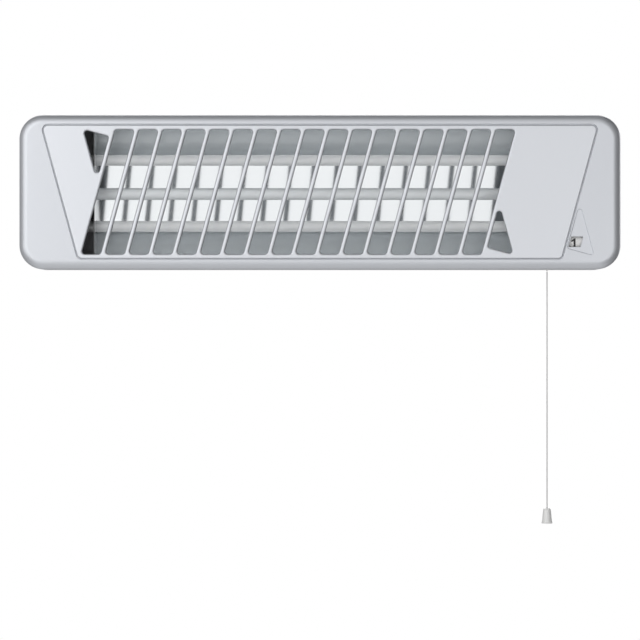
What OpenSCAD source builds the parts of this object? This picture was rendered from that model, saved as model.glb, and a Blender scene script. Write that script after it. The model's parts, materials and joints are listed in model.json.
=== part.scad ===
// Wall-mounted quartz infrared heater with a slanted grille, a tilting wall bracket and a pull switch.
// Pieces are drawn facing the wall: x runs along the heater, h is height, d is distance from the wall.
// wall_frame() then stands them up, so +Z is up and the front looks along -Y.
// The origin is on the wall, in the middle of the bracket's back plate.

/* [Housing] */
// Width of the housing
housing_w = 600; // [590:1:660]
// Height of the housing
housing_h = 154; // [152:1:164]
// Depth of the housing from its back to its front face
housing_depth = 80; // [78:1:96]
// Distance from the wall to the back of the housing
back_gap = 32; // [30:1:40]
// Corner radius seen from the front
corner_r = 24; // [20:1:30]
// Rounding of the front edge
edge_r = 9; // [6:0.5:9]
// Wall of the front cover
cover_wall = 2.2; // [1.8:0.1:2.6]
// Depth of the front cover from its rim to its face
cover_skirt = 54; // [50:1:56]
// Sheet thickness of the rear tray
rear_wall = 1.2; // [0.8:0.1:1.6]
// Rounding of the rear tray's back edge
rear_edge_r = 8; // [5:0.5:10]
// Length over which the cover overlaps the rear tray
tray_overlap = 14; // [12:1:15]
// Thickness of the seal between cover and tray
seal_t = 2; // [1.5:0.1:2.5]

/* [Grille panel] */
// Distance from the housing's side to the panel, at its middle height
panel_side = 41; // [38:1:44]
// Distance from the housing's top or bottom to the panel
panel_border = 10.5; // [10.5:0.5:12]
// Thickness of the panel's plate
panel_t = 2.4; // [1.8:0.1:2.6]
// Lean of the bars and of the panel's ends from the vertical, in degrees
slant = 15.3; // [14:0.1:16]
// Corner radius of the panel
panel_corner_r = 5; // [4.6:0.1:8]
// Width of the groove around the panel
groove = 1; // [0.6:0.1:1.2]
// Number of long slots
slot_count = 17; // [15:1:17]
// Spacing of the slots
slot_pitch = 23.7; // [22:0.1:23.9]
// Width of a bar, measured along x
bar_w = 4.6; // [3.5:0.1:6]
// Depth of a bar from the front face
bar_depth = 6; // [4:0.5:8]
// Distance from the panel's top or bottom to the slots
slot_margin = 4.5; // [4.5:0.5:8]
// Corner radius of the slots
slot_corner_r = 3; // [1.5:0.5:4]
// Middle of the row of slots, along x
louvre_x = -21.6; // [-24:0.2:-20]
// Long side of the two wedge vents at the ends of the row
vent_side = 44; // [38:1:46]

/* [Reflector and tubes] */
// Distance from the housing's left side to the reflector
reflector_left = 75; // [72:1:77]
// Distance from the housing's right side to the reflector
reflector_right = 103; // [102:1:106]
// Sheet thickness of the reflector and its end plates
reflector_t = 0.8; // [0.5:0.1:1]
// Height that the reflector's mouth has over the slots, at each side
mouth_margin = 4; // [2:0.5:4.5]
// Height of the trough's outer part, from the bend to the mouth
outer_run = 30; // [28:0.5:31]
// Distance from the tubes' axes back to the bottom of the trough
trough_gap = 15; // [14:0.5:17]
// Radius of the trough between the bends
inner_curve_r = 150; // [130:1:200]
// Radius of the trough's outer parts
outer_curve_r = 45; // [43:0.5:60]
// Half height of the bead along the middle of the trough
bead_half = 6; // [4:0.5:8]
// Rise of the bead over the trough's bottom
bead_rise = 1.6; // [1:0.1:2.4]
// Distance of each tube from its bend, towards the middle
tube_shift = 2.7; // [1:0.1:4]
// Distance from the wall to the tubes' axes
tube_d = 75; // [74:0.5:77]
// Outer radius of a quartz tube
tube_r = 5.5; // [5:0.1:6]
// Wall of a quartz tube
tube_wall = 1.2; // [0.9:0.1:1.4]
// Outer radius of the heating coil
coil_r = 3.4; // [2.8:0.1:3.5]
// Length of tube beyond the reflector at the left
tube_over_left = 20; // [19:0.5:21]
// Length of tube beyond the reflector at the right
tube_over_right = 11; // [10:0.5:11.5]
// Outer radius of a ceramic cap
cap_r = 7; // [6.7:0.1:7.5]

/* [Wall bracket] */
// Distance from the housing's side to the bracket's ears
bracket_side = 72; // [72:1:80]
// Height of the bracket's plate
bracket_h = 36; // [30:1:40]
// Sheet thickness of the bracket
bracket_t = 2; // [1.5:0.1:2.5]
// Spacing of the wall screws
wall_screw_spacing = 320; // [280:5:380]
// Radius of the wall screw holes
wall_screw_r = 2.75; // [2.2:0.05:3.5]
// Distance from the wall to the tilt axis
pivot_d = 17; // [16:0.5:18]
// Height of the housing's middle above the tilt axis
housing_rise = 45; // [42:1:48]
// Radius of the pivot bolts
bolt_r = 2.5; // [2:0.1:3]
// Radius of the clamp knobs
knob_r = 11; // [9:0.5:12]

/* [Indicator and switch] */
// Long side of the wedge recess around the indicator window
recess_side = 48; // [44:1:50]
// Height of the recess's tip above the housing's bottom
recess_rise = 67; // [65:0.5:69]
// Depth of the recess
recess_depth = 1.2; // [0.6:0.1:1.3]
// Width of the window
window_w = 11.8; // [9:0.2:12]
// Height of the window
window_h = 10.3; // [8:0.1:11]
// Height of the window's middle above the housing's bottom
window_rise = 27.3; // [26.5:0.1:28]
// Thickness of the clear window plate
window_t = 1.6; // [1:0.1:1.8]
// Radius of the indicator drum
drum_r = 12; // [11:0.25:12.5]
// Radius of the switch shaft
shaft_r = 2.5; // [2:0.1:3]
// Distance from the shaft to the cord, along the lever
lever_arm = 12.1; // [11.6:0.1:12.4]
// Angle of the lever above the horizontal at rest, in degrees
lever_rest = 30; // [26:1:32]

/* [Pull cord] */
// Radius of the cord
cord_r = 0.6; // [0.5:0.05:0.8]
// Height of the grip
grip_h = 15; // [12:0.5:22]
// Radius of the grip at its top
grip_top_r = 3.65; // [3.2:0.05:5]
// Radius of the grip at its bottom
grip_bottom_r = 5.1; // [4.5:0.05:7]

/* [Hidden] */
$fn = 48;

// Small distances used everywhere
touch = 0.02;
run_gap = 0.06;
loose_gap = 0.3;
cut = 1;
arc_steps = 5;

// Slanted lines
tan_s = tan(slant);
cos_s = cos(slant);
sin_s = sin(slant);

// Depths from the wall
front_d = back_gap + housing_depth;
cover_back_d = front_d - cover_skirt;
cover_inner_d = front_d - cover_wall;
tray_front_d = cover_back_d + tray_overlap;
floor_d = back_gap + rear_wall;
seat_d = front_d - panel_t;
ledge_t = 2.3;
ledge_d = seat_d - ledge_t;
bars_d = front_d - bar_depth;

// Rear tray
tray_w = housing_w - 2 * (cover_wall + seal_t);
tray_h = housing_h - 2 * (cover_wall + seal_t);
tray_corner_r = corner_r - cover_wall - seal_t;
grommet_x = housing_w / 2 - 38;
grommet_h = -20;
grommet_r = 7;
grommet_lip_t = 2;
grommet_lip_r = 9;
grommet_inner_r = 8.5;
cable_r = 4;
vent_rows = 3;
vent_row_pitch = 10;
vent_top_h = tray_h / 2 - 22.8;
vent_slot = [26, 3.2];
vent_columns = 10;
vent_pitch = 38;

// Seal and cover screws
seal_d = cover_back_d + 9;
seal_len = 3;
cover_screw_d = cover_back_d + 5;
cover_screw_sides = [60, 110];
cover_screw_xs = [cover_screw_sides[0] - housing_w / 2, 0, housing_w / 2 - cover_screw_sides[1]];
cover_screw_r = 1.5;
cover_head_r = 2.9;
cover_head_t = 1.2;
cover_screw_end = 3;

// Panel, its seat and its screws
panel_w = housing_w - 2 * panel_side;
panel_h = housing_h - 2 * panel_border;
slot_h = panel_h - 2 * slot_margin;
ledge_w = 4;
rim_wall = 1.2;
panel_screw_r = 1.2;
panel_screw_head_r = 1.9;
panel_screw_head_t = 1.4;
panel_screw_bite = 1.4;
panel_screw_sides = [19, 40];
panel_screw_xs = [
    panel_screw_sides[0] - panel_w / 2, -75, 85, panel_w / 2 - panel_screw_sides[1]
];

// Louvre
slot_w = slot_pitch - bar_w;
end_bar_x = louvre_x + slot_count * slot_pitch / 2;
vent_long = vent_side / cos(2 * slant);
vent_tip_h = vent_long * cos_s - slot_h / 2;
vent_corner_r = 1.7;
rib_inset = 0.4;

// Reflector
reflector_x = reflector_left - housing_w / 2;
reflector_end_x = housing_w / 2 - reflector_right;
reflector_len = reflector_end_x - reflector_x;
reflector_half_h = slot_h / 2 + mouth_margin;
bend_h = reflector_half_h - outer_run;
trough_d = tube_d - trough_gap;
tube_h = bend_h - tube_shift;
bead_r = (pow(bead_half, 2) + pow(bead_rise, 2)) / (2 * bead_rise);
inner_centre = [0, trough_d + inner_curve_r];
bead_centre = [
    0, inner_centre[1] - sqrt(pow(inner_curve_r, 2) - pow(bead_half, 2)) + bead_rise - bead_r
];
outer_share = 1 - outer_curve_r / inner_curve_r;
outer_centre = [
    bend_h * outer_share,
    inner_centre[1] - sqrt(pow(inner_curve_r, 2) - pow(bend_h, 2)) * outer_share
];
lip_d = outer_centre[1] - sqrt(pow(outer_curve_r, 2) - pow(reflector_half_h - outer_centre[0], 2));
reflector_front_d = ledge_d - 2.8;
end_hole_r = tube_r + 1.2;
leg_half_h = 30;
foot_half_h = 25;
foot_len = 9;
sheet_t = 1.2;
shield_t = 0.6;
shield_d = 46;
shield_half_h = reflector_half_h - 8;
shield_inset = 3;
post_r = 3;
post_x = housing_w / 2 - bracket_side - 76;
post_h = 42;
post_head_t = 0.8;

// Tube ends
tube_left_x = reflector_x - tube_over_left;
tube_right_x = reflector_end_x + tube_over_right;
cap_over = 6;
cap_out = 12;
cap_flange_r = cap_r + 2;
cap_flange_t = 2.5;
cap_flange_out = 1.5;
support_gap = 0.2;
support_half_h = tube_h + 11.7;
support_front_d = tube_d + cap_r + 3;
support_back_d = tube_d - 12;
clip_t = 0.8;
stud_r = 1.5;
stud_out = 9;
stud_in = 0.4;
plug_t = 0.8;
plug_gap = 0.5;
nut_r = 3.2;
nut_t = 2.4;
link_t = 0.6;
link_half_w = 3.5;
coil_wall = 0.7;
coil_inset = 9;
lead_r = 0.5;
lead_end = 0.9;

// Wall bracket and tilt hinge
bracket_w = housing_w - 2 * bracket_side;
ear_x = bracket_w / 2;
ear_r = 12;
lip_t = 7;
lip_half_x = ear_x - 28;
washer_t = 1;
washer_r = 8;
bolt_head_r = 5;
bolt_head_t = 3;
lug_x = ear_x - bracket_t - washer_t - 2 * 0.2;
lug_t = 2;
lug_r = 10;
lug_foot = 24;
lug_foot_t = 1.5;
rivet_r = 2;
rivet_head_r = 3.2;
rivet_head_t = 1;
rivet_insets = [8.8, 20.8];
rivet_spread = 7;
knob_x = ear_x + washer_t + touch + loose_gap;
knob_t = 14;
knob_lobes = 6;
knob_collar_t = 4;
knob_step_t = 2;
knob_edge = 1;
bolt_len = washer_t + knob_t - 2;

// Indicator window and switch
recess_tip_h = recess_rise - housing_h / 2;
window_mid_h = window_rise - housing_h / 2;
recess_gap = (groove + rim_wall) / cos_s;
recess_tip_x = panel_w / 2 + recess_tip_h * tan_s + recess_gap;
recess_corner_r = 2.5;
window_margin = 1.2;
window_left_x = recess_tip_x + (window_mid_h - recess_tip_h) * tan_s + window_margin;
window_x = window_left_x + window_w / 2;
window_lap = 0.9;
shaft_h = window_mid_h;
shaft_d = cover_inner_d - window_t - drum_r - 1.2;
drum_len = 18;
drum_x = window_x - drum_len / 2;
drum_web = 3;
drum_rim = 1.5;
drum_hub_t = 1.8;
cheek_t = 2.5;
frame_len = 23.7;
frame_half_h = 11;
cheek_r = 6;
bracket_foot = 12;
right_cheek_x = drum_x - 1.1 - cheek_t;
left_cheek_x = drum_x - 1.1 - frame_len;
lever_w = 5;
lever_x = left_cheek_x + cheek_t + 2.2;
lever_hub_r = 5.5;
lever_t = 2;
lever_slot_half = 2.8;
lever_slot_w = 2.2;
lever_slot_shift = 0.9;
lever_end = 4.4;
ratchet_x = lever_x + lever_w + 0.6;
ratchet_t = 3;
ratchet_r = 9;
ratchet_root_r = 6.6;
ratchet_teeth = 6;
ratchet_bulge = 1.2;
cam_x = ratchet_x + ratchet_t + 0.7;
cam_t = 2.8;
cam_pitch = 3.4;
cam_r = 4.8;
cam_lobe_r = 2;
cam_peak_r = 6.6;
frame_plate_t = 2.5;
frame_plate_d = shaft_d - lever_arm - 9.5;
bracket_plate_t = 1.5;
contact_block = [7.4, 5, 6];
contact_tab = [0.8, 5, 4];
contact_pitch = 2.8;
blade_t = 0.4;

// Pull cord
cord_x = lever_x + lever_w / 2;
cord_d = shaft_d - lever_arm;
lever_rise = lever_arm * tan(lever_rest);
cord_travel = 2 * lever_rise;
stop_r = 1.9;
stop_h = shaft_h + lever_rise + (lever_t / 2 + stop_r) / cos(lever_rest) + 0.6;
cup_r = 2.2;
cup_t = 1;
cup_top_h = shaft_h + lever_rise - lever_t / 2 / cos(lever_rest) - cup_r * tan(lever_rest) - 0.6;
spring_wire = 0.6;
bush_r = 3.4;
bush_bore_r = cord_r + 1;
bush_flange_r = 5;
bush_flange_t = 1.5;
bush_proud = 0.3;
flange_h = -housing_h / 2 + cover_wall + touch;
exit_h = -housing_h / 2 - bush_proud;
swing_h = exit_h - 1;
// Points of the free cord, as distances below its swing point
cord_drops = [0.7, 17, 34, 51, 68, 85, 102, 119, 136, 153, 170, 187, 204, 221, 236, 249];
cord_steps = 5;
cord_sides = 8;
cord_end_h = swing_h - cord_drops[len(cord_drops) - 1];
grip_lip_r = grip_bottom_r + 0.3;
grip_lip_t = 1.4;
grip_recess_r = 2.8;
grip_recess = 5;
grip_bottom_h = cord_end_h + loose_gap - grip_recess;
knot_r = 2;

// Terminal block
block_size = [20, 36, 17];
block_x = housing_w / 2 - 36;
block_h = 8;
block_ways = 3;
block_way_pitch = 12;
block_wire_rise = 9;
block_bore_r = 2;
block_groove = [1, 3];
block_screw_r = 2.4;
block_screw_t = 4;
block_screw_d = 11.2;
screw_slot = [0.8, 0.8];
earth_side = 14;
earth_x = block_x - earth_side;
earth_h = tray_h / 2 - 20.8;
earth_r = 2;
earth_len = 11;
earth_foot = [4.4, 1];
earth_nut = [3.8, 3];
earth_nut_rise = 5;

// Wire routes, as [x, h, d] from the housing's middle and the wall
wire_r = 1;
wire_sides = 8;
wire_steps = 4;
tab_top_h = shaft_h + frame_half_h + contact_tab[1];
tab_d = frame_plate_d + frame_plate_t + 2 * touch + contact_block[2] / 2;
tab_x = cam_x + 0.6;
right_stud_x = tube_right_x + cap_out + stud_out + 0.3;
left_stud_x = tube_left_x - cap_out - stud_out - 0.3;
run_h = tray_h / 2 - 3.8;
run_d = floor_d + 4.8;
live_route = [
    from_block(4, 6, block_wire_rise), from_block(-3, 6, block_wire_rise), from_block(-10, 3, 11.8),
    from_block(-15, -8, 18.8), from_tab(7.4, 19.7, -12.9), from_tab(1, 9.7, -1.9), from_tab(0, 4, 0),
    from_tab(0, 0.2, 0)
];
stage_one_route = [
    from_tab(contact_pitch, 0.2, 0), from_tab(contact_pitch, 4, 0), from_tab(5.4, 25.7, -0.9),
    from_stud(13.7, -21.3, 2), from_stud(12.7, -7.3, 1), from_stud(8, 0, 0), from_stud(0, 0, 0)
];
stage_two_route = [
    from_tab(2 * contact_pitch, 0.2, 0), from_tab(2 * contact_pitch, 4, 0), from_tab(9.4, 9.7, 0),
    from_tab(14.4, 10.7, -4), from_tab(14.4, 4.7, -8), from_stud(14.7, 0.3 - 2 * tube_h, -5),
    from_stud(6, -2 * tube_h, -2), from_stud(0, -2 * tube_h, 0)
];
neutral_route = [
    from_block(4, 30, block_wire_rise), from_block(-3, 30, block_wire_rise), from_block(-14, 32, 7.8),
    from_block(-25, 40, 6.8),
    [block_x - 38, run_h - 8, run_d + 1], [block_x - 59, run_h - 1, run_d],
    [150, run_h, run_d], [50, run_h, run_d], [-50, run_h, run_d], [-150, run_h, run_d],
    [left_stud_x + 36, run_h - 1, run_d], [left_stud_x + 4, run_h - 9, run_d + 4],
    [left_stud_x - 13, tube_h + 13, run_d + 20], [left_stud_x - 14, tube_h + 3, tube_d - 5],
    [left_stud_x - 5, tube_h, tube_d], [left_stud_x, tube_h, tube_d]
];
earth_route = [
    from_block(4, 18, block_wire_rise), from_block(-3, 18, block_wire_rise), from_block(-9, 23, 13.8),
    from_earth(1, -11, 19.8), from_earth(0, -3, 20.8), from_earth(0, 0, 17.8),
    from_earth(0, 0, earth_len + 0.2)
];

// Places of the wires, from the terminal block, the contacts' tabs, the upper right stud and the earth stud
function from_block(x, h, d) = [block_x + x, block_h + h, floor_d + d];
function from_tab(x, h, d) = [tab_x + x, tab_top_h + h, tab_d + d];
function from_stud(x, h, d) = [right_stud_x + x, tube_h + h, tube_d + d];
function from_earth(x, h, d) = [earth_x + x, earth_h + h, floor_d + d];

// Frames

module wall_frame() {
    rotate([90, 0, 0])
        children();
}

// Pieces that tilt with the housing, measured from the housing's middle height
module housing_frame() {
    wall_frame()
        translate([0, housing_rise, 0])
            children();
}

// Extrudes an [h, d] outline along x
module along_x(x, len) {
    translate([x, 0, 0])
        rotate([90, 0, 90])
            linear_extrude(len)
                children();
}

// Round bar along x at height h and distance d
module rod_x(x, len, r, h, d) {
    translate([x, h, d])
        rotate([0, 90, 0])
            cylinder(h = len, r = r);
}

// Extrudes an [x, h] outline away from the wall
module from_d(d, len) {
    translate([0, 0, d])
        linear_extrude(len)
            children();
}

module both_ends() {
    children();
    mirror([1, 0, 0])
        children();
}

// Outlines

function unit(v) = v / norm(v);

function turned(v, angle) =
    [v[0] * cos(angle) - v[1] * sin(angle), v[0] * sin(angle) + v[1] * cos(angle)];

// Points of the arc that rounds corner b between a and c
function corner_arc(a, b, c, r) =
    let (
        u = unit(a - b),
        v = unit(c - b),
        half = acos(u * v) / 2,
        centre = b + unit(u + v) * r / sin(half),
        start = b + u * r / tan(half) - centre,
        turn = sign(cross(v, u)) * (180 - 2 * half)
    )
    [for (i = [0:arc_steps]) centre + turned(start, turn * i / arc_steps)];

// Convex outline with every corner rounded by r
module rounded_outline(points, r) {
    n = len(points);
    polygon([
        for (i = [0:n - 1])
            each corner_arc(points[(i + n - 1) % n], points[i], points[(i + 1) % n], r)
    ]);
}

module rounded_rect(w, h, r) {
    square([w - 2 * r, h], center = true);
    square([w, h - 2 * r], center = true);
    for (x = [-1, 1], y = [-1, 1])
        translate([x * (w / 2 - r), y * (h / 2 - r)])
            circle(r);
}

// Parallelogram that leans with the bars
module leaning_slot(x, h, w, tall, r) {
    low = x + (h - tall / 2) * tan_s;
    high = x + (h + tall / 2) * tan_s;
    rounded_outline(
        [
            [low - w / 2, h - tall / 2], [low + w / 2, h - tall / 2],
            [high + w / 2, h + tall / 2], [high - w / 2, h + tall / 2]
        ],
        r
    );
}

// Wedge with its tip up, its left side leaning with the bars and its base square to that side
module wedge(tip, side, r) {
    long_side = side / cos(2 * slant);
    rounded_outline(
        [tip, tip + side * [-sin_s, -cos_s], tip + long_side * [sin_s, -cos_s]],
        r
    );
}

// Trapezoid of the panel, grown by g all round
module panel_outline(g) {
    half_h = panel_h / 2 + g;
    half_top = panel_w / 2 + half_h * tan_s + g / cos_s;
    half_bottom = panel_w / 2 - half_h * tan_s + g / cos_s;
    rounded_outline(
        [[-half_bottom, -half_h], [half_bottom, -half_h], [half_top, half_h], [-half_top, half_h]],
        panel_corner_r + g
    );
}

// Quarter of a round, for edges, with a strip that reaches into what it stands on
module quarter_round(r) {
    intersection() {
        circle(r);
        square(r);
    }
    translate([-touch, -touch]) {
        square([r + touch, touch]);
        square([touch, r + touch]);
    }
}

// Rounded box of depth d whose far face has its edge rounded by e
module soft_box(w, h, r, e, d) {
    linear_extrude(d - e)
        rounded_rect(w, h, r);
    translate([-w / 2 + r, -h / 2 + e, d - e])
        cube([w - 2 * r, h - 2 * e, e]);
    translate([-w / 2 + e, -h / 2 + r, d - e])
        cube([w - 2 * e, h - 2 * r, e]);
    for (turn = [0, 180])
        rotate(turn) {
            translate([w / 2 - r, h / 2 - r, d - e])
                rotate_extrude(angle = 90)
                    corner_profile(r, e);
            translate([-w / 2 + r, h / 2 - r, d - e])
                rotate(90)
                    rotate_extrude(angle = 90)
                        corner_profile(r, e);
            translate([-w / 2 + r, h / 2 - e, d - e])
                rotate([90, 0, 90])
                    linear_extrude(w - 2 * r)
                        quarter_round(e);
            translate([w / 2 - e, h / 2 - r, d - e])
                rotate([90, 0, 0])
                    linear_extrude(h - 2 * r)
                        quarter_round(e);
        }
}

module corner_profile(r, e) {
    square([r - e, e]);
    translate([r - e, 0])
        quarter_round(e);
}

// Flexible runs

// Points of a smooth curve through the given points
function smooth(p, steps) =
    [
        for (i = [0:len(p) - 2], j = [0:steps - 1])
            curve_point(p[max(i - 1, 0)], p[i], p[i + 1], p[min(i + 2, len(p) - 1)], j / steps),
        p[len(p) - 1]
    ];

function curve_point(a, b, c, e, t) =
    0.5 * (2 * b + (c - a) * t + (2 * a - 5 * b + 4 * c - e) * t * t + (3 * b - a - 3 * c + e) * t * t * t);

function tangents(p) =
    [for (i = [0:len(p) - 1]) unit(p[min(i + 1, len(p) - 1)] - p[max(i - 1, 0)])];

// One vector square to each tangent, carried along the run without twist
function side_vectors(t, i = 0, last = undef) =
    i == len(t) ? [] :
    let (
        start = abs(t[i][0]) < 0.9 ? [1, 0, 0] : [0, 1, 0],
        seed = is_undef(last) ? start : last,
        side = unit(seed - (seed * t[i]) * t[i])
    )
    concat([side], side_vectors(t, i + 1, side));

// Tube of radius r along a list of points
module sweep(path, r, sides) {
    t = tangents(path);
    u = side_vectors(t);
    n = len(path);
    rings = [
        for (i = [0:n - 1], k = [0:sides - 1])
            let (a = 360 * k / sides)
            path[i] + r * (cos(a) * u[i] + sin(a) * cross(t[i], u[i]))
    ];
    walls = [
        for (i = [0:n - 2], k = [0:sides - 1])
            let (
                a = i * sides + k,
                b = i * sides + (k + 1) % sides
            )
            each [[a, a + sides, b], [b, a + sides, b + sides]]
    ];
    caps = [
        [for (k = [0:sides - 1]) k],
        [for (k = [sides - 1:-1:0]) (n - 1) * sides + k]
    ];
    polyhedron(rings, concat(walls, caps));
}

// Wall bracket and tilt hinge

module wall_bracket() {
    color("lightgray")
        wall_frame()
            difference() {
                union() {
                    translate([-ear_x, -bracket_h / 2, 0])
                        cube([bracket_w, bracket_h, bracket_t]);
                    for (side = [-1, 1])
                        translate([-lip_half_x, side * (bracket_h - bracket_t) / 2 - bracket_t / 2, 0])
                            cube([2 * lip_half_x, bracket_t, lip_t]);
                    both_ends()
                        along_x(ear_x - bracket_t, bracket_t)
                            ear_outline();
                }
                both_ends() {
                    rod_x(ear_x - bracket_t - cut, bracket_t + 2 * cut, bolt_r + run_gap, 0, pivot_d);
                    translate([wall_screw_spacing / 2, 0, -cut])
                        cylinder(h = bracket_t + 2 * cut, r = wall_screw_r);
                }
            }
}

module ear_outline() {
    translate([-ear_r, 0])
        square([2 * ear_r, pivot_d]);
    translate([0, pivot_d])
        circle(ear_r);
}

module pivot_bolts() {
    color("silver")
        wall_frame()
            both_ends() {
                rod_x(lug_x - lug_t - loose_gap - bolt_head_t, bolt_head_t, bolt_head_r, 0, pivot_d);
                rod_x(
                    lug_x - lug_t - loose_gap, ear_x + bolt_len - lug_x + lug_t + loose_gap,
                    bolt_r, 0, pivot_d
                );
            }
}

module friction_washers() {
    color("dimgray")
        wall_frame()
            both_ends()
                for (x = [ear_x - bracket_t - washer_t - touch, ear_x + touch])
                    difference() {
                        rod_x(x, washer_t, washer_r, 0, pivot_d);
                        rod_x(x - cut, washer_t + 2 * cut, bolt_r + run_gap, 0, pivot_d);
                    }
}

module tilt_knob() {
    wall_frame()
        difference() {
            union() {
                rod_x(knob_x, knob_t, knob_r - knob_edge, 0, pivot_d);
                rod_x(
                    knob_x + knob_collar_t, knob_t - knob_collar_t - knob_step_t, knob_r, 0, pivot_d
                );
            }
            rod_x(knob_x - cut, bolt_len + cut, bolt_r + run_gap, 0, pivot_d);
            for (i = [0:knob_lobes - 1])
                rod_x(
                    knob_x + knob_collar_t - knob_edge, knob_t, knob_r / 4,
                    (knob_r + knob_edge) * cos(i * 360 / knob_lobes),
                    pivot_d + (knob_r + knob_edge) * sin(i * 360 / knob_lobes)
                );
        }
}

module tilt_knob_left() {
    color("gray")
        mirror([1, 0, 0])
            tilt_knob();
}

module tilt_knob_right() {
    color("gray")
        tilt_knob();
}

module hinge_lug() {
    housing_frame()
        difference() {
            union() {
                translate([lug_x - lug_foot, -housing_rise - lug_r, back_gap - lug_foot_t])
                    cube([lug_foot, 2 * lug_r, lug_foot_t]);
                along_x(lug_x - lug_t, lug_t) {
                    translate([-housing_rise - lug_r, pivot_d])
                        square([2 * lug_r, back_gap - pivot_d]);
                    translate([-housing_rise, pivot_d])
                        circle(lug_r);
                }
            }
            rod_x(lug_x - lug_t - cut, lug_t + 2 * cut, bolt_r + run_gap, -housing_rise, pivot_d);
            rivet_places()
                cylinder(h = 2 * cut + lug_foot_t, r = rivet_r, center = true);
        }
}

// The right lug's rivets, at the back face of the tray
module rivet_places() {
    for (inset = rivet_insets, side = [-1, 1])
        translate([lug_x - inset, -housing_rise + side * rivet_spread, back_gap])
            children();
}

module hinge_lug_left() {
    color("lightgray")
        mirror([1, 0, 0])
            hinge_lug();
}

module hinge_lug_right() {
    color("lightgray")
        hinge_lug();
}

module lug_rivets() {
    color("silver")
        housing_frame()
            both_ends()
                rivet_places() {
                    translate([0, 0, -lug_foot_t - rivet_head_t - touch])
                        cylinder(h = rivet_head_t, r = rivet_head_r);
                    translate([0, 0, -lug_foot_t - rivet_head_t / 2])
                        cylinder(h = lug_foot_t + rear_wall + rivet_head_t, r = rivet_r - touch);
                    translate([0, 0, rear_wall + touch])
                        cylinder(h = rivet_head_t, r = rivet_head_r);
                }
}

// Housing

module rear_tray() {
    color("lightgray")
        housing_frame()
            difference() {
                translate([0, 0, tray_front_d])
                    mirror([0, 0, 1])
                        difference() {
                            soft_box(tray_w, tray_h, tray_corner_r, rear_edge_r, tray_front_d - back_gap);
                            translate([0, 0, -cut])
                                soft_box(
                                    tray_w - 2 * rear_wall, tray_h - 2 * rear_wall,
                                    tray_corner_r - rear_wall, rear_edge_r - rear_wall,
                                    tray_front_d - floor_d + cut
                                );
                        }
                tray_vents();
                both_ends()
                    rivet_places()
                        cylinder(h = 4 * cut, r = rivet_r, center = true);
                translate([grommet_x, grommet_h, back_gap - cut])
                    cylinder(h = rear_wall + 2 * cut, r = grommet_r);
                cover_screw_places()
                    cylinder(h = 4 * seal_t, r = cover_screw_r + touch, center = true);
            }
}

module tray_vents() {
    for (row = [0:vent_rows - 1], i = [0:vent_columns - 1])
        translate([
            (i - (vent_columns - 1) / 2) * vent_pitch, vent_top_h - row * vent_row_pitch,
            back_gap - cut
        ])
            linear_extrude(rear_wall + 2 * cut) {
                square([vent_slot[0] - vent_slot[1], vent_slot[1]], center = true);
                for (end = [-1, 1])
                    translate([end * (vent_slot[0] - vent_slot[1]) / 2, 0])
                        circle(vent_slot[1] / 2);
            }
}

// Cover screws, with z pointing out through the cover's top or bottom wall from the tray's face
module cover_screw_places() {
    for (side = [-1, 1], x = cover_screw_xs)
        translate([x, side * tray_h / 2, cover_screw_d])
            rotate([-90 * side, 0, 0])
                children();
}

module front_cover() {
    color("gainsboro")
        housing_frame()
            difference() {
                union() {
                    cover_shell();
                    from_d(ledge_d, cover_inner_d - ledge_d + cover_wall / 2)
                        panel_outline(groove + rim_wall);
                }
                from_d(seat_d, panel_t + cut)
                    panel_outline(groove);
                from_d(ledge_d - cut, ledge_t + 2 * cut)
                    panel_outline(-ledge_w);
                from_d(front_d - recess_depth, recess_depth + cut)
                    wedge([recess_tip_x, recess_tip_h], recess_side, recess_corner_r);
                from_d(cover_inner_d - cut, cover_wall + 2 * cut)
                    leaning_slot(window_x - window_mid_h * tan_s, window_mid_h, window_w, window_h, 0.6);
                panel_screw_places()
                    cylinder(h = 2 * ledge_t + cut, r = panel_screw_r + touch, center = true);
                translate([cord_x, -housing_h / 2, cord_d])
                    rotate([90, 0, 0])
                        cylinder(h = 4 * cover_wall, r = bush_r + touch, center = true);
                cover_screw_places() {
                    cylinder(h = 4 * seal_t, r = cover_screw_r + touch);
                    translate([0, 0, seal_t + cover_wall - cover_head_t])
                        cylinder(h = cover_head_t + cut, r = cover_head_r + touch);
                }
            }
}

module cover_shell() {
    translate([0, 0, cover_back_d])
        difference() {
            soft_box(housing_w, housing_h, corner_r, edge_r, cover_skirt);
            translate([0, 0, -cut])
                soft_box(
                    housing_w - 2 * cover_wall, housing_h - 2 * cover_wall,
                    corner_r - cover_wall, edge_r - cover_wall, cover_skirt - cover_wall + cut
                );
        }
}

module cover_seal() {
    color("dimgray")
        housing_frame()
            from_d(seal_d, seal_len)
                difference() {
                    rounded_rect(
                        tray_w + 2 * seal_t - touch, tray_h + 2 * seal_t - touch, tray_corner_r + seal_t
                    );
                    rounded_rect(tray_w + touch, tray_h + touch, tray_corner_r);
                }
}

module cover_screws() {
    color("silver")
        housing_frame()
            cover_screw_places() {
                translate([0, 0, -cover_screw_end])
                    cylinder(
                        h = cover_screw_end + seal_t + cover_wall - cover_head_t, r = cover_screw_r
                    );
                difference() {
                    translate([0, 0, seal_t + cover_wall - cover_head_t + touch])
                        cylinder(h = cover_head_t - 2 * touch, r = cover_head_r);
                    translate([0, 0, seal_t + cover_wall - cover_head_t / 2])
                        cross_recess(cover_head_r * 1.3, cover_head_t);
                }
            }
}

// Cross-shaped recess for a screwdriver
module cross_recess(size, depth) {
    for (turn = [0, 90])
        rotate(turn)
            translate([-size / 2, -size / 10, 0])
                cube([size, size / 5, depth]);
}

// Grille panel

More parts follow.
